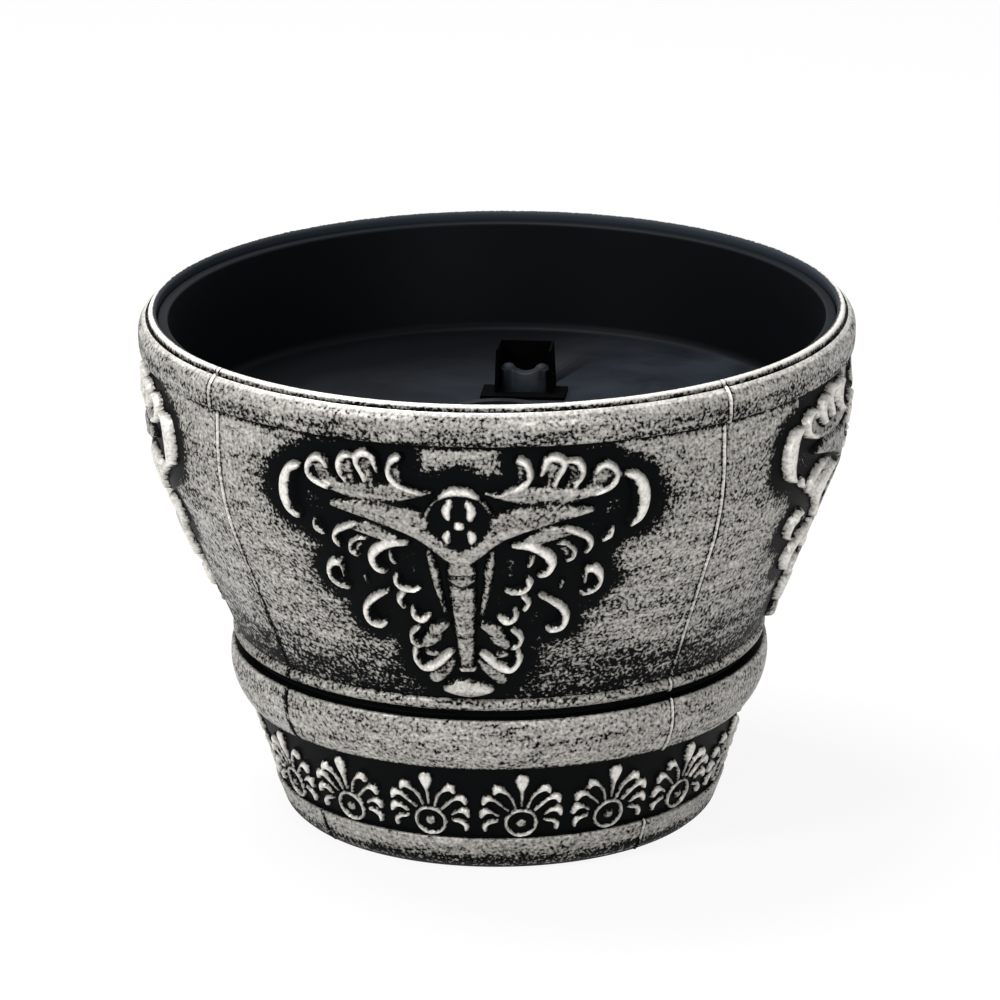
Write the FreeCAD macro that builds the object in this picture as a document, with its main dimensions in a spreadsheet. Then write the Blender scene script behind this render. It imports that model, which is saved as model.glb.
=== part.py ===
# Round plastic planter: a moulded pot with a drop-in planting tray, a water level float, a wick basket
# and a drain plug. Millimetres, +Z up, origin at the centre of the foot, the front ornament faces -Y.
import FreeCAD
import Part
import Sketcher
import math
import os

DOC = FreeCAD.newDocument("planter")
SHEET = DOC.addObject("Spreadsheet::Sheet", "Sizes")

# Driving dimensions
SIZES = [
    # pot, outside
    ("pot_height", 292.0),
    ("rim_radius", 200.0),
    ("rim_edge_inset", 10.3),
    ("lip_width", 4.5),
    ("lip_rise", 3.0),
    ("lip_chamfer", 1.4),
    ("lip_groove_width", 1.5),
    ("lip_groove_depth", 1.5),
    ("roll_height", 19.0),
    ("roll_proud", 5.4),
    ("roll_corner", 3.0),
    ("bowl_straight_height", 19.5),
    ("bowl_curve_height", 53.0),
    ("bowl_curve_inset", 9.6),
    ("waist_height", 111.0),
    ("waist_radius", 149.0),
    ("bead_height", 7.5),
    ("bead_inset", 1.5),
    ("bead_proud", 2.8),
    ("bead_slope", 2.2),
    ("groove_height", 5.0),
    ("groove_depth", 4.0),
    ("band_proud", 1.9),
    ("band_height", 31.0),
    ("band_inset", 8.0),
    ("band_bulge_radius", 36.0),
    ("frieze_recess", 3.5),
    ("foot_height", 21.0),
    ("foot_top_radius", 128.0),
    ("foot_flare", 6.0),
    ("foot_corner_rise", 5.0),
    ("foot_corner_run", 6.0),
    # pot, inside
    ("pot_wall", 3.5),
    ("floor_thickness", 4.0),
    ("foot_lift", 4.0),
    ("foot_ring_width", 12.0),
    ("ledge_depth", 8.0),
    ("ledge_width", 3.2),
    ("ledge_thickness", 5.0),
    ("ledge_slope", 7.0),
    # carving
    ("carving_unit", 1.0),
    ("ornament_relief", 5.0),
    ("ornament_drop", 67.0),
    ("palmette_relief", 3.0),
    ("palmette_rise", 10.2),
    # tray
    ("seat_gap", 0.3),
    ("tray_clearance", 0.6),
    ("tray_lip_thickness", 2.5),
    ("tray_wall", 2.5),
    ("tray_floor_thickness", 3.0),
    ("tray_depth", 68.0),
    ("tray_draft", 6.2),
    ("basket_hole_radius", 30.0),
    # float
    ("tower_side", 9.9),
    ("tower_gap", 5.2),
    ("tower_height", 27.0),
    ("tower_wall", 2.2),
    ("tower_draft", 1.0),
    ("tower_flange_width", 48.0),
    ("tower_flange_front", 18.0),
    ("tower_flange_depth", 22.0),
    ("tower_flange_thickness", 2.0),
    ("fill_hole_radius", 9.0),
    ("cap_height", 17.3),
    ("cap_web_height", 11.7),
    ("cap_web_depth", 6.0),
    ("cap_lobe_offset", 9.6),
    ("cap_lobe_radius", 4.4),
    ("cap_clearance", 0.4),
    ("rod_radius", 4.0),
    ("rod_length", 42.0),
    ("puck_radius", 24.0),
    ("puck_height", 18.0),
    ("puck_rounding", 4.0),
    # wick basket
    ("basket_clearance", 0.6),
    ("basket_flange_width", 3.0),
    ("basket_flange_thickness", 2.0),
    ("basket_wall", 2.0),
    ("basket_taper", 9.4),
    ("basket_foot_height", 30.0),
    ("slot_width", 4.0),
    ("slot_length", 60.0),
    ("slot_margin", 12.0),
    ("slot_gap", 20.0),
    # drain
    ("drain_radius", 12.3),
    ("plug_clearance", 0.3),
    ("plug_head_width", 8.0),
    ("plug_head_height", 4.0),
    ("plug_grip_radius", 8.0),
    ("plug_grip_height", 7.0),
    ("seal_thickness", 2.0),
    ("seal_clearance", 0.4),
]
PANELS = ["front", "right", "back", "left"]
PALMETTES = 16
BASKET_SLOTS = 8
FULL_TURN = 360.0
LEFT, RIGHT = 1, -1


# A length kept both as a number and as the sheet expression that gives it
class Size:
    def __init__(self, number, text):
        self.number = number
        self.text = text

    def joined(self, sign, other, number):
        right = other.text if isinstance(other, Size) else repr(other)
        return Size(number, "(%s %s %s)" % (self.text, sign, right))

    def __add__(self, other):
        return self.joined("+", other, self.number + plain(other))

    def __sub__(self, other):
        return self.joined("-", other, self.number - plain(other))

    def __mul__(self, other):
        return self.joined("*", other, self.number * plain(other))

    def __truediv__(self, other):
        return self.joined("/", other, self.number / plain(other))


def plain(value):
    return value.number if isinstance(value, Size) else value


def fill_sheet():
    cells = {}
    for row, (alias, number) in enumerate(SIZES, start=1):
        SHEET.set("A%d" % row, alias)
        SHEET.set("B%d" % row, str(number))
        SHEET.setAlias("B%d" % row, alias)
        cells[alias] = Size(number, "Sizes." + alias)
    DOC.recompute()
    return cells


S = fill_sheet()


# Heights and radii that several pieces share
RIM_EDGE = S["rim_radius"] - S["rim_edge_inset"]
ROLL_TOP = S["pot_height"] - S["lip_rise"]
ROLL_BOTTOM = ROLL_TOP - S["roll_height"]
BOWL_TOP = S["rim_radius"] - S["roll_proud"]
CURVE_TOP = ROLL_BOTTOM - S["bowl_straight_height"]
CURVE_BOTTOM = CURVE_TOP - S["bowl_curve_height"]
CURVE_FOOT = BOWL_TOP - S["bowl_curve_inset"]
CURVE_RADIUS = (S["bowl_curve_inset"] * S["bowl_curve_inset"]
                + S["bowl_curve_height"] * S["bowl_curve_height"]) / (S["bowl_curve_inset"] * 2)
BEAD_ROOT = S["waist_radius"] - S["bead_inset"]
BEAD_EDGE = BEAD_ROOT + S["bead_proud"]
BEAD_BOTTOM = S["waist_height"] - S["bead_height"]
GROOVE_ROOT = BEAD_ROOT - S["groove_depth"]
GROOVE_BOTTOM = BEAD_BOTTOM - S["groove_height"]
BAND_TOP = S["waist_radius"] + S["band_proud"]
BAND_FOOT = BAND_TOP - S["band_inset"]
BAND_BOTTOM = GROOVE_BOTTOM - S["band_height"]
FRIEZE_TOP = BAND_FOOT - S["frieze_recess"]
FRIEZE_FOOT = S["foot_top_radius"] - S["frieze_recess"]
FOOT_SIDE = S["foot_top_radius"] - S["foot_flare"]
FOOT_RADIUS = FOOT_SIDE - S["foot_corner_run"]
POT_FLOOR = S["foot_lift"] + S["floor_thickness"]
LEDGE_RADIUS = RIM_EDGE - S["ledge_width"]
LEDGE = S["pot_height"] - S["ledge_depth"]
TRAY_FLOOR = S["pot_height"] - S["tray_depth"]
BASKET_RIM = S["basket_hole_radius"] + S["basket_flange_width"]
TOWER_X = S["tower_side"]
TOWER_Y = BASKET_RIM + S["tower_gap"] + S["tower_flange_front"]
CAP_HALF = S["cap_lobe_offset"] + S["cap_lobe_radius"]
TOWER_INNER = CAP_HALF + S["cap_clearance"]
TOWER_INNER_DEPTH = S["fill_hole_radius"] + S["cap_clearance"]
CAP_BOTTOM = TRAY_FLOOR + S["seat_gap"]
ROD_BOTTOM = CAP_BOTTOM - S["rod_length"]


# Sketch helpers
def bind(thing, prop, size):
    thing.setExpression(prop, size.text)


def new_body(label):
    body = DOC.addObject("PartDesign::Body", label)
    body.Label = label
    return body


def new_sketch(body, name, role):
    sketch = body.newObject("Sketcher::SketchObject", name)
    plane = [item for item in body.Origin.OriginFeatures if item.Role == role][0]
    sketch.AttachmentSupport = (plane, "")
    sketch.MapMode = "FlatFace"
    return sketch


def constrain(sketch, kind, places, size):
    index = sketch.addConstraint(Sketcher.Constraint(kind, *places, plain(size)))
    sketch.setExpression("Constraints[%d]" % index, size.text)


# Hold one end of a line or arc at its two distances from the sketch's origin
def pin(sketch, geo, corner, x, y):
    for kind, axis, size in (("DistanceX", -2, x), ("DistanceY", -1, y)):
        if isinstance(size, Size):
            constrain(sketch, kind, (-1, 1, geo, corner), size)
        else:
            sketch.addConstraint(Sketcher.Constraint("PointOnObject", geo, corner, axis))


def arc_between(start, end, radius, side):
    chord = end - start
    half = chord.Length / 2
    normal = FreeCAD.Vector(-chord.y, chord.x, 0).normalize()
    centre = start + chord * 0.5 + normal * (side * math.sqrt(radius * radius - half * half))
    circle = Part.Circle(centre, FreeCAD.Vector(0, 0, 1), radius)
    first, last = (start, end) if side == LEFT else (end, start)
    angles = [math.atan2(p.y - centre.y, p.x - centre.x) for p in (first, last)]
    return Part.ArcOfCircle(circle, angles[0], angles[1])


# A closed outline: each entry is (x, y) or, where an arc leads to it, (x, y, radius, side of its centre)
def outline(sketch, entries):
    spots = [FreeCAD.Vector(plain(e[0]), plain(e[1]), 0) for e in entries]
    ends = []
    for i, entry in enumerate(entries):
        start, end = spots[i - 1], spots[i]
        if len(entry) == 2:
            geo = sketch.addGeometry(Part.LineSegment(start, end), False)
            ends.append((geo, 1, 2))
        else:
            geo = sketch.addGeometry(arc_between(start, end, plain(entry[2]), entry[3]), False)
            ends.append((geo, 1, 2) if entry[3] == LEFT else (geo, 2, 1))
    for i, (geo, first, last) in enumerate(ends):
        before = ends[i - 1]
        sketch.addConstraint(Sketcher.Constraint("Coincident", before[0], before[2], geo, first))
    for (geo, first, last), entry in zip(ends, entries):
        pin(sketch, geo, last, entry[0], entry[1])
        if len(entry) == 4:
            constrain(sketch, "Radius", (geo,), entry[2])


def turned(body, entries):
    sketch = new_sketch(body, body.Label + "_outline", "XZ_Plane")
    outline(sketch, entries)
    turn = body.newObject("PartDesign::Revolution", body.Label + "_turn")
    turn.Profile = sketch
    turn.ReferenceAxis = (sketch, ["V_Axis"])
    turn.Angle = FULL_TURN
    DOC.recompute()
    return turn


def cut_through(body, sketch, away):
    before = body.Shape.Volume
    pocket = body.newObject("PartDesign::Pocket", sketch.Name + "_cut")
    pocket.Profile = sketch
    pocket.Type = "ThroughAll"
    pocket.Reversed = away
    DOC.recompute()
    if body.Shape.Volume >= before:
        raise RuntimeError(sketch.Name + " cuts nothing")
    return pocket


# The pot's bowl: lip, rolled rim, wall and waist bead. Bowl and foot are one moulding; as two nodes they meet
# face to face in the groove under the bead
def make_shell():
    body = new_body("pot_shell")
    lip_middle = S["pot_height"] - S["lip_chamfer"]
    lip_outside = RIM_EDGE + S["lip_width"]
    roll_inside = lip_outside + S["lip_groove_width"]
    shoulder = S["rim_radius"] - roll_inside
    groove_floor = ROLL_TOP - S["lip_groove_depth"]
    ledge_foot = LEDGE - S["ledge_thickness"]
    wall = S["pot_wall"]
    entries = [
        (GROOVE_ROOT - wall, BEAD_BOTTOM),
        (BEAD_ROOT, BEAD_BOTTOM),
        (BEAD_EDGE, BEAD_BOTTOM + S["bead_slope"]),
        (BEAD_EDGE, S["waist_height"] - S["bead_slope"]),
        (BEAD_ROOT, S["waist_height"]),
        (S["waist_radius"], S["waist_height"]),
        (CURVE_FOOT, CURVE_BOTTOM),
        (BOWL_TOP, CURVE_TOP, CURVE_RADIUS, LEFT),
        (BOWL_TOP, ROLL_BOTTOM),
        (S["rim_radius"] - S["roll_corner"], ROLL_BOTTOM),
        (S["rim_radius"], ROLL_BOTTOM + S["roll_corner"]),
        (S["rim_radius"], ROLL_TOP - shoulder),
        (roll_inside, ROLL_TOP, shoulder, LEFT),
        (roll_inside, groove_floor),
        (lip_outside, groove_floor),
        (lip_outside, lip_middle),
        (lip_outside - S["lip_chamfer"], S["pot_height"]),
        (RIM_EDGE + S["lip_chamfer"], S["pot_height"]),
        (RIM_EDGE, lip_middle),
        (RIM_EDGE, LEDGE),
        (LEDGE_RADIUS, LEDGE),
        (LEDGE_RADIUS, ledge_foot),
        (BOWL_TOP - wall, ledge_foot - S["ledge_slope"]),
        (BOWL_TOP - wall, CURVE_TOP),
        (CURVE_FOOT - wall, CURVE_BOTTOM, CURVE_RADIUS, RIGHT),
        (S["waist_radius"] - wall, S["waist_height"]),
    ]
    turned(body, entries)
    return body


# The pot's foot: neck, round band, recessed frieze, standing ring and the floor with its drain hole
def make_foot():
    body = new_body("pot_foot")
    ring_inside = FOOT_RADIUS - S["foot_ring_width"]
    wall = S["pot_wall"]
    entries = [
        (S["drain_radius"], S["foot_lift"]),
        (ring_inside, S["foot_lift"]),
        (ring_inside, 0),
        (FOOT_RADIUS, 0),
        (FOOT_SIDE, S["foot_corner_rise"]),
        (S["foot_top_radius"], S["foot_height"]),
        (FRIEZE_FOOT, S["foot_height"]),
        (FRIEZE_TOP, BAND_BOTTOM),
        (BAND_FOOT, BAND_BOTTOM),
        (BAND_TOP, GROOVE_BOTTOM, S["band_bulge_radius"], LEFT),
        (GROOVE_ROOT, GROOVE_BOTTOM),
        (GROOVE_ROOT, BEAD_BOTTOM),
        (GROOVE_ROOT - wall, BEAD_BOTTOM),
        (GROOVE_ROOT - wall, GROOVE_BOTTOM),
        (FRIEZE_TOP - wall, BAND_BOTTOM),
        (FRIEZE_FOOT - wall, S["foot_height"]),
        (FOOT_RADIUS, POT_FLOOR),
        (S["drain_radius"], POT_FLOOR),
    ]
    turned(body, entries)
    return body


# The carving: flat drawings pushed into a thin layer that follows the pot's outer surface.
# A drawing is in front view, in carving units, from its own centre; a stroke is a width and its arcs' points.
FRAME = [(0, 11), (16, 10.5), (52, 9.5), (69, 6.5), (44, -1), (19.4, -9.4), (11.5, -18.5), (8, -29), (3.6, -89)]
MEDALLION_RADIUS = 15.5
LENS = (-105.2, 13.7, 6.2)
CAP_STROKE = (5.0, [(-8.5, 17), (0, 20.5), (8.5, 17)])
SIDE_STROKES = [
    # the end crescent and the four upright lobes of an arm, from its tip inward
    (5.0, [(89, 26.5), (97.5, 11), (88.5, -4)]),
    (4.5, [(73, 28), (81.5, 25.5), (74, 16.5)]),
    (4.5, [(59.5, 36), (64.5, 28), (60, 20)]),
    (4.5, [(45, 27.5), (51, 36.5), (52.5, 23)]),
    (4.5, [(34.5, 37), (38, 31), (35.5, 23)]),
    # the leaf that the lobes grow from
    (8.0, [(71, 16), (45, 16), (20, 18)]),
    # the hooks under the arm
    (3.0, [(80.3, -4), (79.3, -8), (75.5, -11.5)]),
    (4.0, [(54, -1.5), (67.5, -10.5), (65.5, -17.5)]),
    (3.5, [(58, -14), (61, -18.5), (57, -22.5)]),
    (5.0, [(32, -7), (47.5, -20), (41, -30)]),
    (5.0, [(69, -27), (71.5, -36.5), (64, -45.5)]),
    (4.0, [(40, -42), (53, -58), (44, -66.5)]),
    # the small leaves beside the stem
    (4.0, [(35.5, -34), (32, -39), (26.5, -40.5)]),
    (4.0, [(33, -42.5), (33.8, -48), (30.5, -53)]),
    (4.0, [(28, -54.5), (25, -59.5), (20, -59)]),
    (3.5, [(17.4, -16), (15.8, -30), (13, -44.5)]),
    (4.0, [(26, -66), (29, -71), (26.5, -76)]),
    (4.5, [(11, -62), (17.2, -67), (21.4, -76)]),
    (4.0, [(27.5, -79.5), (25.5, -88.5), (19.5, -94)]),
    (5.0, [(10, -79), (15.5, -84), (19.3, -90.5)]),
    (6.0, [(8, -91), (14, -95), (18, -101)]),
]
PALMETTE_RING = (8.7, 6.7)
PALMETTE_DOT_RADIUS = 3.0
PALMETTE_TIP = (0, 28, 4.2)
PALMETTE_PETALS = [
    (2.8, [(4.5, 10), (7, 20), (13.5, 23)]),
    (2.8, [(8, 8), (13, 15.5), (19.5, 15)]),
    (2.8, [(10.5, 3), (16, 7.5), (21, 4.5)]),
    (2.8, [(10.5, -2), (15.5, 0.5), (19, -5)]),
]


def spot(x, z, height):
    unit = plain(S["carving_unit"])
    return FreeCAD.Vector(x * unit, 0, z * unit + height)


def mirrored(stroke):
    return stroke[0], [(-x, z) for x, z in stroke[1]]


# A flat drawing on the axis, pushed out to the front past the widest ring of the pot
def pushed(face):
    reach = plain(S["rim_radius"] + S["ornament_relief"])
    return face.extrude(FreeCAD.Vector(0, -reach, 0))


def stroke_prism(stroke, height):
    points = [spot(x, z, height) for x, z in stroke[1]]
    path = Part.Wire([Part.Arc(*points).toShape()])
    half = stroke[0] * plain(S["carving_unit"]) / 2
    return pushed(Part.Face(path.makeOffset2D(half, 0, False, False, False)))


def disc_face(x, z, radius, height):
    reach = radius * plain(S["carving_unit"])
    circle = Part.Circle(spot(x, z, height), FreeCAD.Vector(0, 1, 0), reach)
    return Part.Face(Part.Wire([circle.toShape()]))


# A layer of even thickness on the pot, between two heights, turned round the axis
def layer(profile_edges, relief):
    inner = Part.Wire(profile_edges)
    outer = inner.copy()
    outer.translate(FreeCAD.Vector(relief, 0, 0))
    ends = [(w.OrderedVertexes[0].Point, w.OrderedVertexes[-1].Point) for w in (inner, outer)]
    low = Part.makeLine(ends[0][0], ends[1][0])
    high = Part.makeLine(ends[1][1], ends[0][1])
    face = Part.Face(Part.Wire(Part.__sortEdges__(inner.Edges + outer.Edges + [low, high])))
    return face.revolve(FreeCAD.Vector(0, 0, 0), FreeCAD.Vector(0, 0, 1), FULL_TURN)


def at(radius, height):
    return FreeCAD.Vector(plain(radius), 0, plain(height))


def bowl_layer():
    waist, cone = at(S["waist_radius"], S["waist_height"]), at(CURVE_FOOT, CURVE_BOTTOM)
    curve, top = at(BOWL_TOP, CURVE_TOP), at(BOWL_TOP, ROLL_BOTTOM)
    centre = curve - FreeCAD.Vector(plain(CURVE_RADIUS), 0, 0)
    swing = math.atan2(cone.z - centre.z, cone.x - centre.x) / 2
    middle = centre + FreeCAD.Vector(math.cos(swing), 0, math.sin(swing)) * plain(CURVE_RADIUS)
    edges = [Part.makeLine(waist, cone), Part.Arc(cone, middle, curve).toShape(), Part.makeLine(curve, top)]
    return layer(edges, plain(S["ornament_relief"]))


def frieze_layer():
    edges = [Part.makeLine(at(FRIEZE_FOOT, S["foot_height"]), at(FRIEZE_TOP, BAND_BOTTOM))]
    return layer(edges, plain(S["palmette_relief"]))


def carved(prisms, skin):
    drawing = prisms[0].multiFuse(prisms[1:])
    return Part.makeCompound(drawing.common(skin).Solids)


def frame_face(height):
    side = [spot(x, z, height) for x, z in FRAME]
    other = [spot(-x, z, height) for x, z in FRAME]
    edges = []
    for p in (side, other):
        edges += [Part.makeLine(p[0], p[1]), Part.makeLine(p[1], p[2]), Part.makeLine(p[2], p[3])]
        edges += [Part.Arc(p[3], p[4], p[5]).toShape(), Part.Arc(p[5], p[6], p[7]).toShape()]
        edges.append(Part.makeLine(p[7], p[8]))
    edges.append(Part.makeLine(side[8], other[8]))
    return Part.Face(Part.Wire(Part.__sortEdges__(edges)))


def lens_face(height):
    z, long_half, short_half = [value * plain(S["carving_unit"]) for value in LENS]
    lens = Part.Ellipse(FreeCAD.Vector(0, 0, 0), long_half, short_half).toShape()
    lens.rotate(FreeCAD.Vector(0, 0, 0), FreeCAD.Vector(1, 0, 0), 90)
    lens.translate(FreeCAD.Vector(0, 0, z + height))
    return Part.Face(Part.Wire([lens]))


def ornament_shape():
    height = plain(S["pot_height"] - S["ornament_drop"])
    prisms = [pushed(frame_face(height)), pushed(disc_face(0, 0, MEDALLION_RADIUS, height))]
    prisms += [pushed(lens_face(height)), stroke_prism(CAP_STROKE, height)]
    for stroke in SIDE_STROKES:
        prisms += [stroke_prism(stroke, height), stroke_prism(mirrored(stroke), height)]
    return carved(prisms, bowl_layer())


def palmette_shape():
    height = plain(S["foot_height"] + S["palmette_rise"])
    outer, inner = [disc_face(0, 0, radius, height) for radius in PALMETTE_RING]
    prisms = [pushed(outer.cut(inner)), pushed(disc_face(0, 0, PALMETTE_DOT_RADIUS, height))]
    prisms.append(pushed(disc_face(*PALMETTE_TIP, height)))
    for petal in PALMETTE_PETALS:
        prisms += [stroke_prism(petal, height), stroke_prism(mirrored(petal), height)]
    return carved(prisms, frieze_layer())


def turned_copy(shape, angle):
    copy = shape.copy()
    copy.rotate(FreeCAD.Vector(0, 0, 0), FreeCAD.Vector(0, 0, 1), angle)
    return copy


def shape_node(label, shape):
    node = DOC.addObject("Part::Feature", label)
    node.Label = label
    node.Shape = shape
    return node


def make_ornaments():
    front = ornament_shape()
    step = FULL_TURN / len(PANELS)
    return [shape_node("ornament_" + side, turned_copy(front, i * step)) for i, side in enumerate(PANELS)]


def make_frieze():
    one = palmette_shape()
    step = FULL_TURN / PALMETTES
    copies = [turned_copy(one, (i + 0.5) * step) for i in range(PALMETTES)]
    return shape_node("palmette_frieze", Part.makeCompound([s for c in copies for s in c.Solids]))


# The planting tray: hangs by its lip on the ledge inside the rim
def make_tray():
    body = new_body("planting_tray")
    lip_radius = RIM_EDGE - S["tray_clearance"]
    lip_bottom = LEDGE + S["seat_gap"]
    wall_outside = LEDGE_RADIUS - S["tray_clearance"]
    floor_outside = wall_outside - S["tray_draft"]
    underside = TRAY_FLOOR - S["tray_floor_thickness"]
    lip_top = lip_bottom + S["tray_lip_thickness"]
    turned(body, [
        (S["basket_hole_radius"], underside),
        (floor_outside, underside),
        (wall_outside, lip_bottom),
        (lip_radius, lip_bottom),
        (lip_radius, lip_top),
        (wall_outside - S["tray_wall"], lip_top),
        (floor_outside - S["tray_wall"], TRAY_FLOOR),
        (S["basket_hole_radius"], TRAY_FLOOR),
    ])
    sketch = new_sketch(body, "fill_hole", "XY_Plane")
    circle = Part.Circle(FreeCAD.Vector(plain(TOWER_X), plain(TOWER_Y), 0), FreeCAD.Vector(0, 0, 1),
                         plain(S["fill_hole_radius"]))
    geo = sketch.addGeometry(circle, False)
    pin(sketch, geo, 3, TOWER_X, TOWER_Y)
    constrain(sketch, "Radius", (geo,), S["fill_hole_radius"])
    cut_through(body, sketch, True)
    return body


def place(thing, x, y, z):
    for axis, size in (("x", x), ("y", y), ("z", z)):
        bind(thing, "Placement.Base." + axis, size)


def new_box(name, width, depth, height, corner):
    box = DOC.addObject("Part::Box", name)
    for prop, size in (("Length", width), ("Width", depth), ("Height", height)):
        bind(box, prop, size)
    place(box, *corner)
    return box


def new_cylinder(name, radius, height, x, y, z):
    cylinder = DOC.addObject("Part::Cylinder", name)
    bind(cylinder, "Radius", radius)
    bind(cylinder, "Height", height)
    place(cylinder, x, y, z)
    return cylinder


def new_pair(kind, label, base, tool):
    pair = DOC.addObject(kind, label)
    pair.Label = label
    pair.Base = base
    pair.Tool = tool
    return pair


# The float tower: a drafted upright, open to the front, with a flange that sits on the tray floor
def make_tower():
    outer = TOWER_INNER + S["tower_wall"]
    outer_depth = TOWER_INNER_DEPTH + S["tower_wall"]
    top = outer - S["tower_draft"]
    top_depth = outer_depth - S["tower_draft"]
    wedge = DOC.addObject("Part::Wedge", "tower_block")
    zero = outer - outer
    for prop, size in (("Xmin", zero - outer), ("Xmax", outer), ("X2min", zero - top), ("X2max", top),
                       ("Zmin", zero - outer_depth), ("Zmax", outer_depth),
                       ("Z2min", zero - top_depth), ("Z2max", top_depth),
                       ("Ymin", zero), ("Ymax", S["tower_height"])):
        bind(wedge, prop, size)
    wedge.Placement.Rotation = FreeCAD.Rotation(FreeCAD.Vector(1, 0, 0), 90)
    place(wedge, TOWER_X, TOWER_Y, TRAY_FLOOR)
    flange_corner = (TOWER_X - S["tower_flange_width"] / 2, TOWER_Y - S["tower_flange_front"], TRAY_FLOOR)
    flange = new_box("tower_flange", S["tower_flange_width"], S["tower_flange_depth"],
                     S["tower_flange_thickness"], flange_corner)
    width, depth = TOWER_INNER * 2, TOWER_INNER_DEPTH * 2
    well = new_box("tower_well", width, depth, S["tower_height"] * 2,
                   (TOWER_X - TOWER_INNER, TOWER_Y - TOWER_INNER_DEPTH, TRAY_FLOOR - S["tower_height"] / 2))
    window = new_box("tower_window", width, depth, S["tower_height"] * 2,
                     (TOWER_X - TOWER_INNER, TOWER_Y - depth, TRAY_FLOOR + S["tower_flange_thickness"]))
    body = new_pair("Part::Fuse", "tower_body", wedge, flange)
    bored = new_pair("Part::Cut", "tower_bored", body, well)
    return new_pair("Part::Cut", "float_tower", bored, window)


def new_ball(name, radius, x, y, z):
    ball = DOC.addObject("Part::Sphere", name)
    bind(ball, "Radius", radius)
    place(ball, x, y, z)
    return ball


# The level cap: two domed posts with a web between them, which rise in the tower
def make_cap():
    offset, radius = S["cap_lobe_offset"], S["cap_lobe_radius"]
    straight = S["cap_height"] - radius
    pieces = [new_box("cap_web", offset * 2, S["cap_web_depth"], S["cap_web_height"],
                      (TOWER_X - offset, TOWER_Y - S["cap_web_depth"] / 2, CAP_BOTTOM))]
    for side, x in (("left", TOWER_X - offset), ("right", TOWER_X + offset)):
        pieces.append(new_cylinder("cap_post_" + side, radius, straight, x, TOWER_Y, CAP_BOTTOM))
        pieces.append(new_ball("cap_dome_" + side, radius, x, TOWER_Y, CAP_BOTTOM + straight))
    cap = DOC.addObject("Part::MultiFuse", "level_cap")
    cap.Label = "level_cap"
    cap.Shapes = pieces
    return cap


def make_rod():
    return new_cylinder("float_rod", S["rod_radius"], S["rod_length"], TOWER_X, TOWER_Y, ROD_BOTTOM)


# The float puck: a sealed hollow disc, modelled solid, with rounded edges
def make_puck():
    body = new_body("float_puck")
    bottom = ROD_BOTTOM - S["puck_height"]
    rounding, radius = S["puck_rounding"], S["puck_radius"]
    turned(body, [
        (0, bottom),
        (radius - rounding, bottom),
        (radius, bottom + rounding, rounding, LEFT),
        (radius, ROD_BOTTOM - rounding),
        (radius - rounding, ROD_BOTTOM, rounding, LEFT),
        (0, ROD_BOTTOM),
    ])
    bind(body, "Placement.Base.x", TOWER_X)
    bind(body, "Placement.Base.y", TOWER_Y)
    return body


# The wick basket: a slotted cone that hangs in the tray and reaches down into the water
def make_basket():
    body = new_body("wick_basket")
    flange_bottom = TRAY_FLOOR + S["seat_gap"]
    flange_top = flange_bottom + S["basket_flange_thickness"]
    top = S["basket_hole_radius"] - S["basket_clearance"]
    foot = top - S["basket_taper"]
    bottom = S["basket_foot_height"]
    wall = S["basket_wall"]
    turned(body, [
        (0, bottom),
        (foot, bottom),
        (top, flange_bottom),
        (BASKET_RIM, flange_bottom),
        (BASKET_RIM, flange_top),
        (top - wall, flange_top),
        (foot - wall, bottom + wall),
        (0, bottom + wall),
    ])
    half = S["slot_width"] / 2
    left = half - S["slot_width"]
    low = bottom + S["slot_margin"]
    sketch = new_sketch(body, "basket_slots", "XZ_Plane")
    for start in (low, low + S["slot_length"] + S["slot_gap"]):
        end = start + S["slot_length"]
        outline(sketch, [(left, start), (half, start), (half, end), (left, end)])
    slots = cut_through(body, sketch, False)
    pattern = body.newObject("PartDesign::PolarPattern", "basket_slot_ring")
    pattern.Originals = [slots]
    pattern.Axis = (sketch, ["V_Axis"])
    pattern.Angle = FULL_TURN
    pattern.Occurrences = BASKET_SLOTS
    body.Tip = pattern
    DOC.recompute()
    return body


# The drain plug and its seal: the plug drops in from inside the pot, the seal lies under its head
def make_plug():
    body = new_body("drain_plug")
    barrel = S["drain_radius"] - S["plug_clearance"]
    head = S["drain_radius"] + S["plug_head_width"]
    head_bottom = POT_FLOOR + S["seat_gap"] + S["seal_thickness"]
    head_top = head_bottom + S["plug_head_height"]
    grip_top = head_top + S["plug_grip_height"]
    turned(body, [
        (0, S["foot_lift"]),
        (barrel, S["foot_lift"]),
        (barrel, head_bottom),
        (head, head_bottom),
        (head, head_top),
        (S["plug_grip_radius"], head_top),
        (S["plug_grip_radius"], grip_top),
        (0, grip_top),
    ])
    return body


def make_seal():
    body = new_body("drain_seal")
    bottom = POT_FLOOR + S["seat_gap"]
    inside = S["drain_radius"] - S["plug_clearance"] + S["seal_clearance"]
    outside = S["drain_radius"] + S["plug_head_width"] - S["seal_clearance"]
    top = bottom + S["seal_thickness"]
    turned(body, [(inside, bottom), (outside, bottom), (outside, top), (inside, top)])
    return body


def check(nodes):
    DOC.recompute()
    for thing in DOC.Objects:
        if "Invalid" in thing.State or "Error" in thing.State:
            raise RuntimeError("%s failed: %s" % (thing.Name, thing.State))
    for node in nodes:
        if node.Shape.isNull() or not node.Shape.isValid() or not node.Shape.Solids:
            raise RuntimeError(node.Label + " has no valid solid")


def write(nodes):
    os.makedirs("parts", exist_ok=True)
    for node in nodes:
        node.Shape.exportStep("parts/%s.step" % node.Label)
        print(node.Label, len(node.Shape.Solids), "solids,", round(node.Shape.Volume / 1000, 1), "cm3")


NODES = [make_shell(), make_foot()] + make_ornaments()
NODES += [make_frieze(), make_tray(), make_tower(), make_cap(), make_rod(), make_puck(), make_basket()]
NODES += [make_plug(), make_seal()]
check(NODES)
write(NODES)
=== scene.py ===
import math

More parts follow.
